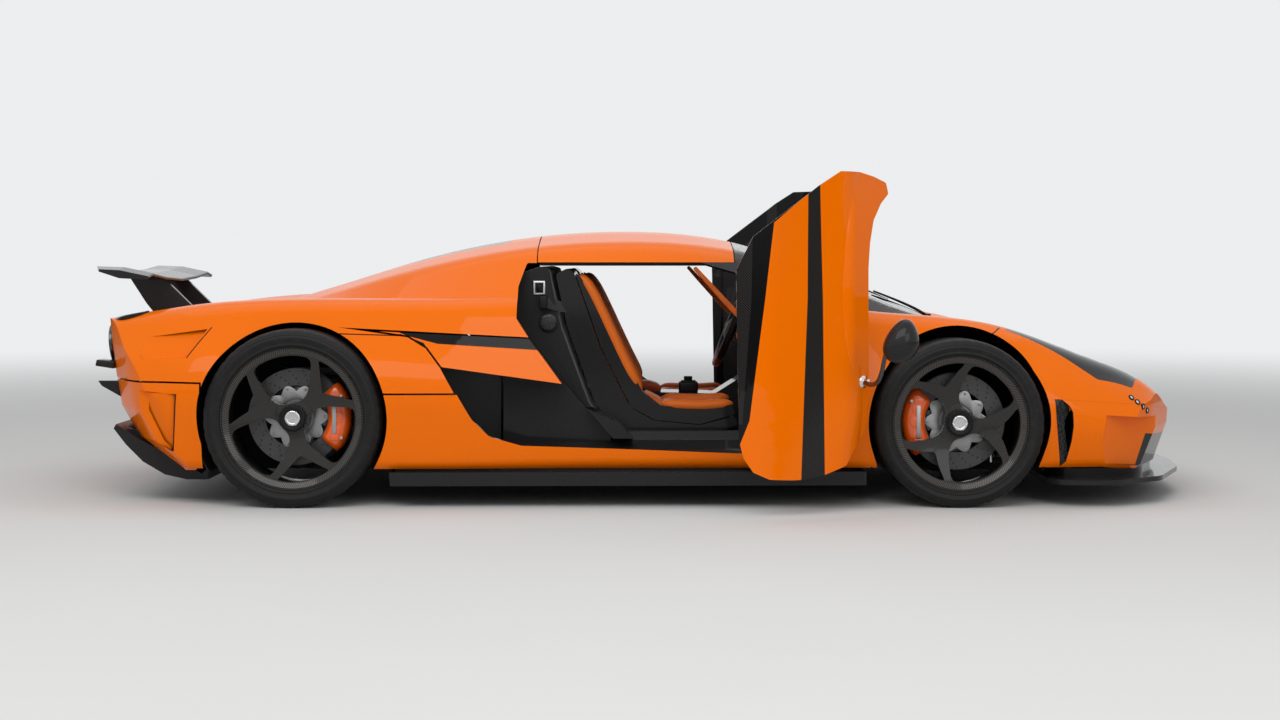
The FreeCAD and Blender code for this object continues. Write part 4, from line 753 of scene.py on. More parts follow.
@cache
def disc_face():
    """Carbon ceramic: dark grey with pale flecks and wiped rings."""
    shader = Shader("disc_ceramic", Specular_IOR_Level=0.5, Metallic=0.35)
    rings = shader.made("ShaderNodeTexWave", {"Vector": shader.place, "Scale": 160.0, "Distortion": 1.2}, "Fac",
                        wave_type="RINGS", rings_direction="Y")
    fleck = shader.ramp(shader.noise(420, 3, 0.7), 0.55, 0.75)
    tone = shader.mix(fleck, (0.06, 0.06, 0.062, 1), grey(0.13))
    shader.set(Base_Color=shader.mix(shader.times(rings, 0.3), tone, (0.05, 0.05, 0.052, 1)),
               Roughness=shader.blend(fleck, 0.34, 0.5), Normal=shader.bump(rings, 0.00005, 0.4))
    return shader.material


def make_wheels():
    """Tyres, spoked rims, discs, calipers and centre nuts."""
    for axle_name, axle in AXLES.items():
        half = axle["half"]
        face = half - FACE_INSET
        disc_front = half - DISC_INSET
        tyre = tyre_mesh(axle)
        spoked, barrel = rim_meshes(axle)
        collar = bevelled(joined([
            toothed_ring(56, 30, -face + 6, -face + 30, 20, 3.5),
            lathe([(50, -face + 4), (47, -face + 1), (34, -face + 3), (32, -face + 9), (32, -face + 28),
                   (50, -face + 28)], 48)]), 0.8, 2, 40)
        nut = lathe([(0, -face + 4), (12, -face + 3.4), (20, -face + 3.4), (22, -face + 1.8), (26, -face + 1.2),
                     (29.5, -face + 3), (31, -face + 7), (31, -face + 30), (0, -face + 30)], 64)
        slots = [slab(circle(4, 12, *spot), -face - 10, -face + 6) for spot in circle(27, 6)]
        nut = bevelled(cut_away(nut, joined(slots)), 0.5, 2, 40)
        disc = disc_mesh(disc_front, disc_front - DISC_THICK)
        carrier = carrier_mesh(disc_front, half - HUB_INSET)
        block, strip = caliper_meshes(disc_front, disc_front - DISC_THICK, axle["lead"])
        for side, sign in SIDES:
            place = (axle["x"], sign * axle["track"], axle["radius"])
            body = f"wheel_{axle_name}_{side}"
            tag = f"{axle_name}_{side}"
            turn = flipped if sign > 0 else (lambda mesh: mesh.copy())
            made = piece(f"tread_tyre_{tag}", turn(tyre), body, rubber(0.011, 0.5), place, 50)
            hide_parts(f"tyre_{tag}")
            made = piece(f"spokes_{tag}", turn(spoked), body, rim_weave(axle["rim"]), place, 32)
            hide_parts(f"rim_{tag}")
            piece(f"barrel_{tag}", turn(barrel), body, carbon(2.6, 0.06), place)
            piece(f"collar_{tag}", turn(collar), body, plastic(0.35, 0.008), place)
            piece(f"centre_nut_{tag}", turn(nut), body, metal(0.62, 0.22), place)
            made = piece(f"drilled_disc_{tag}", turn(disc), body, disc_face(), place)
            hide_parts(f"brake_disc_{tag}")
            piece(f"disc_carrier_{tag}", turn(carrier), body, metal(0.3, 0.4), place)
            holder = f"knuckle_{side}" if axle_name == "front" else "body"
            made = piece(f"caliper_block_{tag}", turn(block), holder, lacquer(0.95, 0.12, 0.004), place)
            if axle_name == "front":
                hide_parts(f"caliper_front_{side}")
            elif side == "right":
                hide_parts("calipers_rear")
            piece(f"caliper_strip_{tag}", turn(strip), holder, metal(0.4, 0.4), place)


@cache
def tree_of(node):
    mesh = NODES[node].data
    return BVHTree.FromPolygons([vertex.co for vertex in mesh.vertices],
                                [list(face.vertices) for face in mesh.polygons])


def hit(node, start, aim):
    """First point in millimetres where a ray meets a CAD node's mesh, with the face's normal."""
    spot, normal, face, far = tree_of(node).ray_cast(Vector(start) / 1000, Vector(aim).normalized())
    return (None, None) if spot is None else (spot * 1000, normal)


def standing(spot, normal, out=None):
    """Placement that turns a mesh's Y axis to a surface's normal, on the side that out points to."""
    if out is not None and normal.dot(Vector(out)) < 0:
        normal = -normal
    return Matrix.Translation(spot / 1000) @ Vector((0, 1, 0)).rotation_difference(normal).to_matrix().to_4x4()


def moved(mesh, x=0, y=0, z=0):
    """Copy of the mesh, shifted in millimetres."""
    return carried(mesh, Matrix.Translation((x / 1000, y / 1000, z / 1000)))


def sweep(points, widths, thick, across):
    """Flat bar along the points: widths along the across direction, thick along the other one."""
    line = [Vector(point) for point in points]
    verts = []
    for index, point in enumerate(line):
        run = (line[min(index + 1, len(line) - 1)] - line[max(index - 1, 0)]).normalized()
        side = Vector(across) - run * run.dot(Vector(across))
        side.normalize()
        up = run.cross(side)
        wide = widths[index] if isinstance(widths, list) else widths
        verts += [point + side * (a * wide / 2) + up * (b * thick / 2) for a, b in ((-1, -1), (1, -1), (1, 1), (-1, 1))]
    return ringed(verts, 4)


def block(low, high, width=4, segments=3):
    """Rounded block between two corners."""
    (ax, ay, az), (bx, by, bz) = low, high
    return bevelled(slab([(ax, az), (bx, az), (bx, bz), (ax, bz)], ay, by), width, segments, 40)


SEAT_Y = 374
SEAT_BACK_BY = 22.5
PAD_FRONT = [(-208, 888), (-160, 780), (-104, 650), (-50, 530), (6, 430), (90, 386), (250, 372), (384, 388)]
PAD_BACK = [(-286, 916), (-240, 780), (-184, 612), (-124, 480), (-56, 364), (50, 309), (250, 292), (390, 334)]


def pad_outline(first, last):
    """Side outline of the part of the pad between two of its points, in millimetres."""
    return [(x - SEAT_BACK_BY, z) for x, z in PAD_FRONT[first:last + 1] + PAD_BACK[first:last + 1][::-1]]


def swollen(mesh, pressure, cap):
    """Cloth blown up a little from inside and kept near where it started; gravity is off."""
    mesh = modified(mesh, "REMESH", mode="VOXEL", voxel_size=0.007)
    start = [vertex.co.copy() for vertex in mesh.vertices]
    item = loose(mesh)
    cloth = item.modifiers.new("cloth", "CLOTH")
    settings = dict(quality=6, mass=0.2, tension_stiffness=12, compression_stiffness=12, shear_stiffness=5,
                    bending_stiffness=0.4, use_pressure=True, uniform_pressure_force=pressure)
    for key, value in settings.items():
        setattr(cloth.settings, key, value)
    cloth.settings.effector_weights.gravity = 0
    cloth.point_cache.frame_start = 1
    cloth.point_cache.frame_end = 20
    for frame_number in range(1, 21):
        bpy.context.scene.frame_set(frame_number)
    mesh = baked(item)
    bpy.context.scene.frame_set(1)
    for vertex, rest in zip(mesh.vertices, start):
        step = vertex.co - rest
        if step.length > cap / 1000:
            vertex.co = rest + step.normalized() * (cap / 1000)
    return mesh


def sewn(mesh, seams, half_wide, depth=5.0, reach=6.0):
    """Press sewn channels into a pad: across it at each seam (point, direction in x and z) and along both edges."""
    normals = [vertex.normal.copy() for vertex in mesh.vertices]
    for vertex, normal in zip(mesh.vertices, normals):
        x, y, z = vertex.co * 1000
        press = 0.0
        if abs(y) < half_wide:
            for (px, pz), (dx, dz) in seams:
                length = math.hypot(dx, dz)
                off = abs((x - px) * -dz + (z - pz) * dx) / length
                press = max(press, math.exp(-(off / reach) ** 2))
        edge = abs(abs(y) - half_wide)
        press = max(press, math.exp(-(edge / reach) ** 2))
        vertex.co -= normal * (depth * press / 1000)
    mesh.update()
    return mesh


@cache
def seat_leather():
    """Orange hide with a stitched seam either side of each channel; the stitches follow the seat's own height."""
    hide = (0.93, 0.19, 0.008)
    shader = Shader(f"seat_leather_{hide[0]}", Sheen_Weight=0.05, Specular_IOR_Level=0.3)
    crease = shader.ramp(shader.cells(480, "DISTANCE_TO_EDGE"), 0.0, 0.16)
    cloud = shader.noise(7, 4)
    color = shader.mix(cloud, shade(hide, 0.86, 0.8, 0.8), shade(hide, 1))
    # Painted shade: the creases of the grain take a darker copy of the hide
    color = shader.mix(shader.times(shader.minus(1.0, crease), 0.55), color, shade(hide, 0.5, 0.4, 0.4))
    x, y, z = shader.split()
    off_seat = shader.absolute(shader.minus(shader.absolute(y), SEAT_Y / 1000))
    row = shader.ramp(shader.absolute(shader.minus(off_seat, 0.107)), 0.0016, 0.0008)
    along = shader.math("FRACT", shader.times(shader.minus(z, x), 110.0))
    stitch = shader.times(row, shader.math("LESS_THAN", along, 0.6))
    height = shader.plus(shader.times(crease, 0.5), shader.times(shader.noise(38, 5, 0.65), 1.5))
    shader.set(Base_Color=shader.mix(stitch, color, (0.9, 0.75, 0.6, 1)), Roughness=shader.blend(cloud, 0.4, 0.54),
               Normal=shader.bump(height, 0.0005, 0.5))
    return shader.material


def make_seats():
    """Padded backs and bases and the side bolsters of both seats."""
    orange = seat_leather()
    half = 149
    back_seams = [((-200, 830), (-1, -0.3)), ((-150, 735), (-1, -0.35)), ((-112, 650), (-1, -0.4)),
                  ((-72, 565), (-1, -0.45))]
    base_seams = [((75, 390), (-0.2, -1)), ((150, 380), (-0.1, -1)), ((225, 374), (0, -1)), ((300, 378), (0.1, -1))]
    shapes = {}
    for name, first, last, seams in (("back", 0, 4, back_seams), ("base", 4, 7, base_seams)):
        outline = pad_outline(first, last)
        middle = Vector((sum(x for x, z in outline) / len(outline), sum(z for x, z in outline) / len(outline)))
        shrunk = []
        for corner in outline:
            away = Vector(corner) - middle
            pulled = away * (1 - 5 / max(away.length, 1))
            shrunk.append((middle.x + pulled.x, middle.y + pulled.y))
        mesh = subdivided(swollen(bevelled(slab(shrunk, -half + 6, half - 6), 22, 4), 4.0, 9))
        for vertex in mesh.vertices:
            vertex.co.y = max(-0.152, min(0.152, vertex.co.y))
        shapes[name] = sewn(mesh, seams, 107)
    rolls = [(-256, 926), (-212, 868), (-164, 770), (-108, 648), (-52, 530), (4, 432), (84, 384), (250, 374),
             (388, 386)]
    rolls = [(x - SEAT_BACK_BY + 4, z + 2) for x, z in rolls]
    for side, sign in SIDES:
        for name, mesh in shapes.items():
            made = piece(f"seat_{name}_{side}", moved(mesh, 0, sign * SEAT_Y), "body", orange, angle=60)
            if side == "right" and name == "back":
                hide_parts("seat_pads")
        for edge in (-1, 1):
            place = "in" if edge * sign < 0 else "out"
            for part, path, wide in (("shoulder", rolls[:6], 29), ("thigh", rolls[6:], 28)):
                roll = bolster(path, sign * SEAT_Y + edge * 190, wide)
                made = piece(f"bolster_{part}_{place}_{side}", roll, "body", orange, angle=70)


def bolster(path, y, wide):
    """Firm side roll of a seat: an oval section that swells in the middle of its length and closes at its ends."""
    line = []
    for start, end in zip(path, path[1:]):
        for step in range(6):
            share = step / 6
            line.append((start[0] + (end[0] - start[0]) * share, start[1] + (end[1] - start[1]) * share))
    line.append(path[-1])
    for _ in range(6):
        line = [line[0]] + [((a[0] + 2 * b[0] + c[0]) / 4, (a[1] + 2 * b[1] + c[1]) / 4)
                            for a, b, c in zip(line, line[1:], line[2:])] + [line[-1]]
    sides = 20
    verts = []
    count = len(line)
    for index, (x, z) in enumerate(line):
        ahead, back = line[min(index + 1, count - 1)], line[max(index - 1, 0)]
        run = Vector((ahead[0] - back[0], 0, ahead[1] - back[1])).normalized()
        up = Vector((0, 1, 0)).cross(run)
        close = math.sqrt(max(1 - (2 * index / (count - 1) - 1) ** 8, 0.02))
        for k in range(sides):
            angle = TAU * k / sides
            a, b = polar(close * (1 - 0.16 * math.exp(-((angle - math.pi * 0.5) / 0.16) ** 2)), angle)
            verts.append(Vector((x, y + wide * a, z)) + up * (25 * b))
    return subdivided(ringed(verts, sides))


DIAL_Z = 742


def make_cabin():
    """Trim that the open doors show: pillar covers, belts, armrest, gear switch, steering wheel, dial and vents."""
    orange = leather(*ORANGE_HIDE)
    black = plastic(0.4, 0.01)
    frame_ring = cut_away(block((-468, -4, 842), (-416, 4, 902), 6),
                          slab([(-459, 851), (-425, 851), (-425, 893), (-459, 893)], -10, 10))
    speaker = lathe([(0, 8), (26, 9), (34, 7), (38, 2), (38, -14), (0, -14)], 48)
    for side, sign in SIDES:
        y = sign * 588
        path = [(205, y + sign * 6, 956), (262, y, 893), (318, y - sign * 2, 832), (362, y - sign * 4, 784),
                (396, y - sign * 8, 752), (432, y - sign * 14, 735)]
        cover = bevelled(sweep(path, [16, 20, 22, 24, 26, 30], 34, (1, 0, 1)), 5, 3, 40)
        piece(f"pillar_cover_{side}", cover, "body", orange)
        path = [(440, y - sign * 12, 740), (398, y - sign * 10, 700), (384, y - sign * 8, 672),
                (402, y - sign * 8, 630), (436, y - sign * 8, 600)]
        piece(f"dash_edge_{side}", tube(path, 5, 10), "body", orange)
        # Belt from the pillar to the shoulder, its upper guide and the buckle
        shoulder = Vector((-225, sign * 545, 800))
        guide = Vector((-418, sign * 612, 812))
        strap = [guide.lerp(shoulder, step / 12) - Vector((0, 0, 16 * math.sin(math.pi * step / 12)))
                 for step in range(13)]
        belt = bevelled(sweep(strap, 46, 2.4, (0.15, 0.4, 1)), 0.8, 2, 40)
        piece(f"belt_{side}", belt, "body", webbing(), angle=50)
        low, high = sorted((sign * 598, sign * 640))
        piece(f"belt_guide_{side}", block((-440, low, 786), (-408, high, 838), 5), "body", black)
        piece(f"latch_frame_{side}", moved(frame_ring, 0, sign * 603), "body", metal(0.6, 0.3))
        latch = joined([block((-452, -6, 858), (-430, 6, 886), 3),
                        tube([(-446, 0, 862), (-446, sign * 16, 872), (-446, 0, 882)], 3, 8)])
        piece(f"latch_{side}", moved(latch, 0, sign * 605), "body", black)
        cone = speaker if sign > 0 else flipped(speaker)
        piece(f"speaker_{side}", moved(cone, -404, sign * 606, 728), "body", grille(220))
    trim = slab([(-541, 172), (-541, 896), (-500, 940), (-440, 962), (-398, 950), (-392, 905), (-348, 700), (-238, 398),
                 (-140, 262), (-140, 176)], -600, 600)
    piece("cabin_back_trim", bevelled(trim, 10, 3), "body", suede(0.008))
    rest = slab([(-112, 402), (-100, 440), (-60, 452), (20, 450), (62, 436), (78, 412), (60, 400)], -62, 62)
    rest = subdivided(swollen(bevelled(rest, 14, 4), 3.0, 5))
    made = piece("armrest", rest, "body", leather(*BROWN_HIDE), angle=60)
    knob = bevelled(lathe([(0, 0), (17, 0), (19, 3), (19, 16), (17, 18), (0, 18)], 32), 1)
    upright = Matrix.Translation((0.192, 0, 0.452)) @ Matrix.Rotation(math.pi / 2, 4, "X")
    switch = joined([block((150, -34, 400), (236, 34, 446), 8), block((160, -26, 442), (226, 26, 452), 4),
                     carried(knob, upright)])
    piece("gear_switch", switch, "body", black)
    # Hub cover and grip of the steering wheel, with its two paddles
    rake = math.radians(22)
    axis = Vector((-math.cos(rake), 0, math.sin(rake)))
    place = standing(Vector((395, SEAT_Y, 668)), axis)
    cover = lathe([(0, 22), (22, 21), (40, 16), (50, 8), (52, 0), (52, -8), (0, -8)], 48)
    piece("wheel_hub_cover", carried(cover, place), "steering_wheel", leather(0.02, 0.02, 0.021))
    piece("wheel_grip", carried(lathe(circle(17.5, 20, 172), 96), place), "steering_wheel", wheel_leather(), angle=60)
    for tilt in (1, -1):
        paddle = bevelled(slab(corner_cut([(-26, -36), (26, -30), (34, 40), (-18, 44)], 2), -30, -26), 1.2, 2)
        paddle = carried(moved(paddle, 88 * tilt, 0, 12), place)
        piece(f"paddle_{'a' if tilt > 0 else 'b'}", paddle, "steering_wheel", carbon(2.2, 0.08))
    # Dials behind the wheel and the screen in the middle
    binnacle = slab([(470, 772), (560, 800), (640, 800), (600, 752), (500, 742)], SEAT_Y - 120, SEAT_Y + 120)
    piece("binnacle", bevelled(binnacle, 12, 4), "body", suede(0.02))
    dial = lathe([(0, 2), (44, 2), (47, 4), (50, 2), (50, -6), (0, -6)], 48)
    piece("dial", carried(dial, standing(Vector((498, SEAT_Y, DIAL_Z)), axis)), "body", dial_face())
    screen = bevelled(slab([(488, 590), (508, 700), (516, 698), (497, 586)], -92, 92), 3, 2)
    piece("screen", screen, "body", lacquer(0.012, 0.013, 0.016, 0.08))
    for y in (-540, -230, 160, 560):
        vent = joined([block((498, y - 40, low), (530, y + 40, high), width)
                       for low, high, width in ((706, 714, 3), (722, 728, 2), (738, 744, 3))])
        piece(f"air_vent_{y + 600}", vent, "body", metal(0.3, 0.3))


@cache
def webbing():
    """Black belt webbing, ribbed along its length."""
    shader = Shader("webbing", Roughness=0.75, Sheen_Weight=0.2)
    x, y, z = shader.split()
    ribs = shader.math("SINE", shader.times(shader.plus(z, y), 1600.0))
    weft = shader.math("SINE", shader.times(x, 1900.0))
    height = shader.times(ribs, weft)
    shader.set(Base_Color=shader.mix(height, grey(0.012), (0.035, 0.035, 0.037, 1)),
               Normal=shader.bump(height, 0.0004, 0.6))
    return shader.material


@cache
def grille(scale=150):
    """Punched black sheet."""
    shader = Shader(f"grille_{scale}", Metallic=0.6, Roughness=0.4)
    holes = shader.ramp(shader.cells(scale), 0.3, 0.42)
    shader.set(Base_Color=shader.mix(holes, grey(0.002), (0.045, 0.045, 0.047, 1)),
               Normal=shader.bump(holes, 0.001, 0.8))
    return shader.material


@cache
def wheel_leather():
    """Orange hide with dark grips at the sides."""
    shader = Shader("wheel_leather", Specular_IOR_Level=0.35)
    crease = shader.ramp(shader.cells(620, "DISTANCE_TO_EDGE"), 0.0, 0.16)
    x, y, z = shader.split()
    side = shader.absolute(shader.minus(y, SEAT_Y / 1000))
    dark = shader.ramp(side, 0.118, 0.122)
    color = shader.mix(dark, (0.62, 0.09, 0.006, 1), (0.016, 0.016, 0.017, 1))
    # Painted shade: the creases of the grain are darkened to deep brown
    shader.set(Base_Color=shader.mix(crease, (0.03, 0.008, 0.003, 1), color), Roughness=shader.blend(crease, 0.6, 0.45),
               Normal=shader.bump(crease, 0.0003, 0.5))
    return shader.material


@cache
def dial_face():
    """Dark dial with a ring of pale ticks."""
    shader = Shader("dial_face", Coat_Weight=1.0, Coat_Roughness=0.02, Roughness=0.4)
    x, y, z = shader.split()
    across, up = shader.minus(y, SEAT_Y / 1000), shader.minus(z, DIAL_Z / 1000)
    turns = shader.times(shader.math("ARCTAN2", up, across), 36 / TAU)
    ring = shader.band(shader.reach(across, up), (0.034, 0.0345), (0.041, 0.0405))
    mask = shader.times(shader.math("LESS_THAN", shader.off_middle(turns), 0.1), ring)
    shader.set(Base_Color=shader.mix(mask, (0.008, 0.008, 0.009, 1), grey(0.7)))
    return shader.material


@cache
def lamp_cover():
    """Smoked cover of the headlamps: projector rings and a row of small lights behind dark glass."""
    shader = Shader("lamp_cover", Coat_Weight=1.0, Coat_Roughness=0.02, Coat_IOR=1.45, Specular_IOR_Level=0.1,
                    Roughness=0.2)
    x, y, z = shader.split()
    y = shader.absolute(y)
    marks = []
    for cx, cy, size in ((1.66, 0.74, 0.034), (1.76, 0.735, 0.03), (1.85, 0.72, 0.026), (1.93, 0.695, 0.02)):
        away = shader.reach(shader.minus(x, cx), shader.minus(y, cy))
        marks.append(shader.band(away, (size, size - 0.002), (size - 0.008, size - 0.005)))
        marks.append(shader.ramp(away, size * 0.45, size * 0.38))
    shader.set(Base_Color=shader.mix(shader.union(*marks), (0.006, 0.006, 0.007, 1), (0.5, 0.5, 0.52, 1)))
    return shader.material


def sheet(verts, columns, thick):
    """Thin panel through a grid of points in millimetres, listed row by row."""
    faces = []
    for row in range(len(verts) // (columns + 1) - 1):
        for column in range(columns):
            a = row * (columns + 1) + column
            faces.append((a, a + 1, a + columns + 2, a + columns + 1))
    return modified(tidy_mesh(mesh_of("sheet", verts, faces)), "SOLIDIFY", thickness=thick / 1000, offset=0)


def skin_patch(node, outline, sunk, side, columns=16, rows=14):
    """Panel over a hole, in the line of the surface around it: sunk gives how deep it lies at each (x, z)."""
    xs, zs = [p[0] for p in outline], [p[1] for p in outline]
    mx, mz = sum(xs) / len(xs), sum(zs) / len(zs)
    edges = list(zip(outline, outline[1:] + outline[:1]))
    around = []
    for (ax, az), (bx, bz) in edges:
        for share in (0, 0.25, 0.5, 0.75):
            x, z = ax + (bx - ax) * share, az + (bz - az) * share
            away = math.hypot(x - mx, z - mz)
            for out in (14, 30, 46):
                px, pz = x + (x - mx) / away * out, z + (z - mz) / away * out
                spot = hit(node, (px, side * 1400, pz), (0, -side, 0))[0]
                if spot is not None and abs(spot.y) > 600:
                    around.append((px, pz, abs(spot.y)))

    def terms(x, z):
        u, v = (x - mx) / 200, (z - mz) / 200
        return numpy.stack([u * 0 + 1, u, v, u * u, u * v, v * v], axis=-1)
    data = numpy.array(around)
    weights = numpy.linalg.lstsq(terms(data[:, 0], data[:, 1]), data[:, 2], rcond=None)[0]
    verts = []
    for row in range(rows + 1):
        z = min(zs) + (max(zs) - min(zs)) * row / rows
        cuts = [ax + (bx - ax) * (z - az) / (bz - az) for (ax, az), (bx, bz) in edges
                if (az - z) * (bz - z) <= 0 and abs(az - bz) > 1e-6] or [mx]
        for column in range(columns + 1):
            x = min(cuts) + (max(cuts) - min(cuts)) * column / columns
            verts.append((x, side * (float(terms(x, z) @ weights) - sunk(x, z)), z))
    return sheet(verts, columns, 4)


def make_mirrors():
    """Egg-shaped mirror heads on bent stalks with bright feet, as they stand with the doors open."""
    foot = lathe([(0, 34), (8, 34), (13, 30), (15, 20), (15, 10), (24, 6), (26, 2), (26, -8), (0, -8)], 40)
    foot = bevelled(foot, 0.8)
    for side, sign in SIDES:
        door = f"door_{side}"
        stalk = tube([(850, sign * 1186, 512), (868, sign * 1230, 508), (886, sign * 1282, 522),
                      (897, sign * 1322, 560), (903, sign * 1346, 606), (912, sign * 1358, 648)], 10, 16, 8)
        made = piece(f"mirror_stalk_{side}", stalk, door, lacquer(0.012, 0.012, 0.013, 0.2), angle=60)
        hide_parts(f"mirror_{side}")
        spot, normal = hit(f"door_skin_{side}", (848, sign * 1600, 512), (0, -sign, 0))
        place = standing(spot, normal, (0, sign, 0))
        piece(f"mirror_foot_{side}", carried(foot, place), door, metal(0.75, 0.12))
        work = bmesh.new()
        bmesh.ops.create_uvsphere(work, u_segments=48, v_segments=32, radius=1.0)
        centre = Vector((966, sign * 1378, 682))
        cut = Vector((0, -sign * 0.5, 0.86)).normalized()
        for vertex in work.verts:
            x, y, z = vertex.co
            point = Vector((x * 66 * (1 - 0.24 * z) + 14 * z, y * 61 * (1 - 0.12 * z), z * 84))
            over = point.dot(cut) - 69
            if over > 0:
                point -= cut * over * 0.94
            vertex.co = (centre + point) / 1000
        head = bpy.data.meshes.new("mirror_head")
        work.to_mesh(head)
        work.free()
        piece(f"mirror_head_{side}", head, door, carbon(2.4, 0.04), angle=30)


STEER_CENTRE = (1254.5, 784.5, 337)


def arch_bowl(sign):
    """Bowl around all that a steered front wheel sweeps: a ball inboard, a barrel outboard up to the fender's skin."""
    inner, outer = 389, 393
    profile = [(0, -285)]
    for radius in (inner, outer):
        arc = [(math.sqrt(radius ** 2 - min(d, 0) ** 2), d) for d in range(-285, 121, 15)]
        profile += arc if radius == inner else arc[::-1]
    profile.append((0, -289))
    mesh = lathe([(r, sign * d) for r, d in profile], 64, None, math.radians(238), math.radians(-29))
    mesh.transform(Matrix.Translation((STEER_CENTRE[0] / 1000, sign * STEER_CENTRE[1] / 1000, STEER_CENTRE[2] / 1000)))
    for vertex in mesh.vertices:
        x, y, z = vertex.co * 1000
        if abs(y) < 700:
            continue
        spot = nearest(("front_fenders", "front_bumper"), (x, sign * 1400, z), (0, -sign, 0))[0]
        if spot is not None and abs(y) > abs(spot.y) - 33:
            vertex.co.y = sign * (abs(spot.y) - 33) / 1000
    return mesh


def over_screen(spots, lift):
    """Points at a height over the windscreen, above each (x, y) that meets it."""
    found = [hit("windscreen", (x, y, 1500), (0, 0, -1))[0] for x, y in spots]
    return [spot + Vector((0, 0, lift)) for spot in found if spot is not None]


def make_aero_details():
    """Wheel-arch bowls and shields, roof seals, the tail's corner panels and the wiper."""
    liner = plastic(0.8, 0.006)
    for side, sign in SIDES:
        piece(f"arch_bowl_{side}", arch_bowl(sign), "body", liner, angle=60)
        shield = lathe([(0, -287), (240, -287), (240, -291), (0, -291)], 48)
        piece(f"arch_shield_{side}", shield if sign > 0 else flipped(shield), "body", liner,
              (STEER_CENTRE[0], sign * STEER_CENTRE[1], STEER_CENTRE[2]), 60)
        spots = [hit("roof_panel", (x, sign * 1200, 982), (0, -sign, 0))[0] for x in range(-436, 361, 66)]
        path = [(spot.x, spot.y - sign * 12, 972) for spot in spots if spot is not None]
        piece(f"roof_seal_{side}", tube(path, 8, 10, None, 3), "body", rubber(0.008, 0.5), angle=60)
        outline = [(-1866, 456), (-2034, 474), (-2118, 328), (-1888, 214)]
        patch = skin_patch("rear_bumper", outline, lambda x, z: 3 + 16 * max(0, (x + 1960) / 90) ** 2, sign)
        piece(f"tail_corner_{side}", patch, "body", paint("plain"), angle=60)
    # One wiper on the screen
    line = over_screen([(1262 - 262 * share, 20 - 190 * share) for share in (0, 0.2, 0.4, 0.6, 0.8, 1)], 12)
    foot = block(tuple(line[0] - Vector((16, 16, 16))), tuple(line[0] + Vector((16, 16, 10))), 6)
    piece("wiper_arm", joined([tube(line, 7, 12, 4), foot]), "body", plastic(0.4, 0.01), angle=50)
    line = over_screen([(1110 - 225 * share, 130 - 330 * share) for share in (0.05, 0.25, 0.5, 0.75, 1)], 5)
    piece("wiper_blade", bevelled(sweep(line, 5, 9, (1, 0.7, 0)), 1), "body", rubber(0.01, 0.5))


def nearest(names, start, aim):
    """First point where a ray meets one of the named nodes, with the face's normal."""
    found = [(spot, normal) for spot, normal in (hit(name, start, aim) for name in names) if spot is not None]
    return min(found, key=lambda pair: (pair[0] - Vector(start)).length, default=(None, None))


def laid(names, place_at, aim, lift, thick=3.0, steps=16):
    """Thin panel that follows the nodes' surface; place_at gives a ray's start for u and v from -1 to 1."""
    aim = Vector(aim)
    walk = [2 * k / steps - 1 for k in range(steps + 1)]
    return sheet([nearest(names, place_at(u, v), aim)[0] - aim * lift for v in walk for u in walk], steps, thick)


def rim_of(names, place_at, aim, lift, radius, steps=24):
    """Round bead along the edge of a laid panel."""
    walk = [2 * k / steps - 1 for k in range(steps)]
    edge = [(t, -1) for t in walk] + [(1, t) for t in walk] + [(-t, 1) for t in walk] + [(-1, -t) for t in walk]
    aim = Vector(aim)
    spots = [nearest(names, place_at(u, v), aim)[0] - aim * lift for u, v in edge]
    return tube(spots + spots[:1], radius, 8)


def oval(u, v):
    """Square to disc, so that a grid's outline comes out round."""
    return u * math.sqrt(1 - v * v / 2), v * math.sqrt(1 - u * u / 2)


def soft_square(u, v, share=0.35):
    """Square with rounded corners, between the plain grid and the disc."""
    a, b = oval(u, v)
    return u * (1 - share) + a * share, v * (1 - share) + b * share


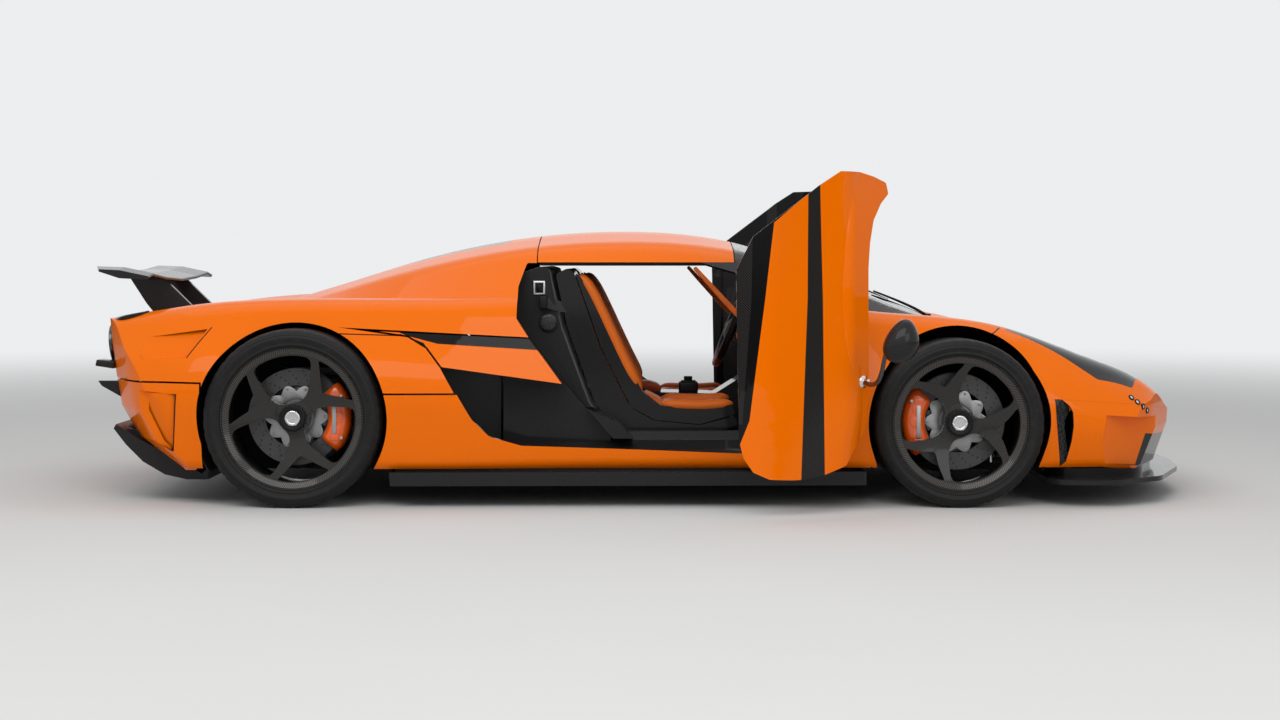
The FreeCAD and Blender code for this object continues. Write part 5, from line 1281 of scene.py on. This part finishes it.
def make_tail_and_nose():
    """Mesh and lamp rings of the tail, its dark humps, fins and brackets, and the nose's row of small lamps."""
    tail = ("rear_clamshell", "tail_lamps")
    backward = (1, 0, 0)

    def mesh_at(u, v):
        u, v = soft_square(u, v)
        return (-2700, 462 * u - 18 * u * v, 636 + 62 * v)
    # Wall between the two side vents of the nose, so that no light shows through
    wall = slab([(1660, 170), (1660, 470), (1960, 440), (2060, 330), (2060, 170)], -4, 4)
    piece("nose_duct_wall", bevelled(wall, 1.5, 2), "body", plastic(0.8, 0.006))
    piece("tail_mesh", laid(tail, mesh_at, backward, 1.5, 3, 20), "rear_clamshell", grille(190), angle=50)
    piece("tail_mesh_frame", rim_of(tail, mesh_at, backward, 3, 6), "rear_clamshell", lacquer(*GLOSS_BLACK),
          angle=60)
    ring = lathe([(62, 2), (66, 8), (74, 9), (79, 5), (79, -4), (62, -4)], 64)
    glow_ring = lathe([(38, 4), (40, 7), (46, 7), (48, 4), (48, -2), (38, -2)], 64)
    core = lathe([(0, 7), (14, 6), (20, 2), (20, -2), (0, -2)], 48)
    lamp_parts = (("bezel", ring, lacquer(*GLOSS_BLACK)), ("ring", glow_ring, lacquer(0.55, 0.006, 0.004, 0.08)),
                  ("core", core, metal(0.5, 0.2)))
    lens = lathe([(0, 4), (5, 3.4), (8, 1), (8, -4), (0, -4)], 24)
    bezel = lathe([(8, 2), (9, 4.5), (12, 4), (13, 0), (13, -4), (8, -4)], 24)
    for side, sign in SIDES:
        spot, normal = hit("tail_lamps", (-2700, sign * 560, 640), (1, 0, 0))
        place = standing(spot, normal, (-1, 0, 0))
        for part, mesh, finish in lamp_parts:
            piece(f"tail_lamp_{part}_{side}", carried(mesh, place), "rear_clamshell", finish, angle=50)

        def hump_at(u, v):
            u, v = oval(u, v)
            return (-2106 + 68 * u, sign * (712 + 34 * v), 1400)
        piece(f"tail_hump_{side}", laid(("rear_clamshell",), hump_at, (0, 0, -1), 3, 4), "rear_clamshell",
              lacquer(0.012, 0.01, 0.01, 0.06), angle=60)
        fin = slab([(-2190, 540), (-2268, 552), (-2262, 578), (-2190, 572)], *sorted((sign * 590, sign * 690)))
        piece(f"tail_fin_{side}", bevelled(fin, 5, 3), "rear_clamshell", carbon(2.4, 0.1))
        bracket = slab([(-2150, 490), (-2262, 490), (-2246, 468), (-2150, 414)], *sorted((sign * 652, sign * 668)))
        piece(f"tail_bracket_{side}", bevelled(bracket, 3, 2), "body", carbon(2.4, 0.1))
        for index in range(4):
            at = (1962 + 24 * index, sign * 1500, 432 - 18 * index)
            spot, normal = nearest(("front_bumper", "front_fenders"), at, (0, -sign, 0))
            place = standing(spot, normal, (0, sign, 0))
            piece(f"nose_light_{index}_{side}", carried(lens, place), "body", lacquer(0.8, 0.82, 0.85, 0.05), angle=50)
            piece(f"nose_bezel_{index}_{side}", carried(bezel, place), "body", plastic(0.3, 0.01), angle=50)


def make_door_trim():
    """Inner side of each door: a padded insert, the armrest, the pull, the speaker and the switches."""
    for side, sign in SIDES:
        panel = (f"door_inner_{side}",)
        outward = (0, sign, 0)

        def insert_at(u, v):
            u, v = soft_square(u, v, 0.5)
            return (716 + 54 * u + 6 * v, sign * 900, 690 + 320 * v)
        door = f"door_{side}"
        orange = leather(*ORANGE_HIDE)
        insert = laid(panel, insert_at, outward, 3, 6, 18)
        piece(f"door_insert_{side}", insert, door, leather(*BROWN_HIDE), angle=60)
        piece(f"door_piping_{side}", rim_of(panel, insert_at, outward, 5, 4), door, orange, angle=60)
        rest = bolster([(612, 660), (618, 730), (624, 810), (630, 900), (634, 980)], sign * 1184, 26)
        made = piece(f"door_armrest_{side}", rest, door, orange, angle=70)
        pull = tube([(556, sign * 1222, 690), (556, sign * 1198, 704), (558, sign * 1184, 750),
                     (560, sign * 1184, 820), (560, sign * 1196, 864), (560, sign * 1220, 880)], 8, 12, 6)
        piece(f"door_pull_{side}", pull, door, metal(0.3, 0.25), angle=60)
        spot, normal = hit(panel[0], (534, sign * 900, 985), outward)
        speaker = lathe([(0, 6), (40, 7), (50, 5), (56, 1), (56, -6), (0, -6)], 48)
        place = standing(spot, normal, (0, -sign, 0))
        piece(f"door_speaker_{side}", carried(speaker, place), door, grille(260), angle=50)
        for index in range(2):
            spot, normal = hit(panel[0], (600, sign * 900, 440 - 36 * index), outward)
            switch = moved(block((-9, -5, -13), (9, 5, 13), 3), *spot)
            piece(f"door_switch_{index}_{side}", switch, door, metal(0.25, 0.3))


def make_materials_for_frame():
    """Finish of every CAD node that no piece replaces."""
    painted = {"front_fenders": "fenders", "front_bumper": "nose", "bonnet": "bonnet", "roof_panel": "roof",
               "rear_clamshell": "clam", "rear_bumper": "tail", "sill_panels": "sill", "side_blades": "blade",
               "door_skin_right": "door", "door_skin_left": "door"}
    for node, kind in painted.items():
        dress(node, paint(kind))
    for node in ("front_splitter", "rear_diffuser", "underfloor", "tub", "rear_wing", "seat_shells",
                 "centre_console", "windscreen_frame", "door_inner_right", "door_inner_left"):
        dress(node, carbon())
    for node in ("door_arm_right", "door_arm_left", "door_yoke_right", "door_yoke_left"):
        dress(node, metal(0.08, 0.35))
    for node in ("knuckle_right", "knuckle_left", "hub_carriers"):
        dress(node, metal(0.3, 0.4))
    for node, finish in (("arch_liners", plastic(0.7)), ("suspension_front", metal(0.12, 0.45)),
                         ("suspension_rear", metal(0.12, 0.45)), ("engine", metal(0.2, 0.5)),
                         ("exhaust", metal(0.5, 0.3)), ("dashboard", suede()), ("steering_wheel", suede()),
                         ("windscreen", glass(0.75)), ("rear_window", glass(0.35)), ("headlamps", lamp_cover()),
                         ("tail_lamps", glow(0.5, 0.01, 0.01))):
        dress(node, finish)


BACKDROP = (0.98, 0.99, 1.0, 1)


def area_light(name, place, aim, size_x, size_y, power):
    light = bpy.data.lights.new(name, "AREA")
    light.shape = "RECTANGLE"
    light.size = size_x
    light.size_y = size_y
    light.energy = power
    item = bpy.data.objects.new(name, light)
    item.location = place
    item.rotation_euler = (Vector(aim) - Vector(place)).to_track_quat("-Z", "Y").to_euler()
    bpy.context.collection.objects.link(item)


def make_stage():
    """Pale floor, soft studio light and the camera at the photograph's place."""
    bpy.ops.mesh.primitive_plane_add(size=60, location=(0, 0, 0))
    floor = bpy.context.object
    floor.name = "floor"
    shader = Shader("studio_floor")
    cloud = shader.noise(0.7, 3)
    # Far from the car the floor runs out into the backdrop's own tone
    far = shader.ramp(shader.vector("LENGTH", shader.place), 3.6, 15.0)
    seen = shader.add("ShaderNodeLightPath").outputs["Is Camera Ray"]
    pale = shader.mix(cloud, (0.74, 0.74, 0.73, 1), (0.78, 0.78, 0.77, 1))
    shader.set(Base_Color=shader.mix(far, pale, grey(0)), Roughness=0.75, Emission_Color=BACKDROP,
               Emission_Strength=shader.times(shader.times(far, seen), 0.86),
               Specular_IOR_Level=0.0, Normal=shader.bump(shader.noise(60, 3), 0.0004, 0.2))
    floor.data.materials.append(shader.material)
    world = bpy.data.worlds.new("studio")
    bpy.context.scene.world = world
    world.use_nodes = True
    sky = Graph(world.node_tree)
    back = sky.tree.nodes["Background"].inputs
    rays = sky.add("ShaderNodeLightPath").outputs
    seen = sky.math("MAXIMUM", rays["Is Camera Ray"],
                    sky.math("MAXIMUM", rays["Is Transmission Ray"], rays["Is Glossy Ray"]))
    sky.feed(back["Strength"], sky.math("MULTIPLY_ADD", seen, 0.44, 0.42))
    back["Color"].default_value = BACKDROP
    area_light("key", (-1.5, -6.5, 6.0), (0, 0, 0.4), 8.0, 4.0, 300)
    area_light("fill", (4.0, -7.0, 3.0), (0.6, 0, 0.4), 3.0, 3.0, 60)
    area_light("top", (0.0, 0.8, 6.0), (0, 0, 0.4), 9.0, 4.0, 70)
    area_light("back", (-1.0, 7.0, 4.0), (0, 0, 0.5), 9.0, 3.0, 14)
    camera = bpy.data.cameras.new("camera")
    camera.lens = 56.4
    camera.shift_y = -100 / 1280
    item = bpy.data.objects.new("camera", camera)
    item.location = (-0.0225, -8.95, 0.988)
    item.rotation_euler = (math.radians(90), 0, 0)
    bpy.context.collection.objects.link(item)
    bpy.context.scene.camera = item
    bpy.context.scene.view_settings.view_transform = "Standard"


make_materials_for_frame()
make_wheels()
make_seats()
make_cabin()
make_mirrors()
make_aero_details()
make_tail_and_nose()
make_door_trim()
make_stage()
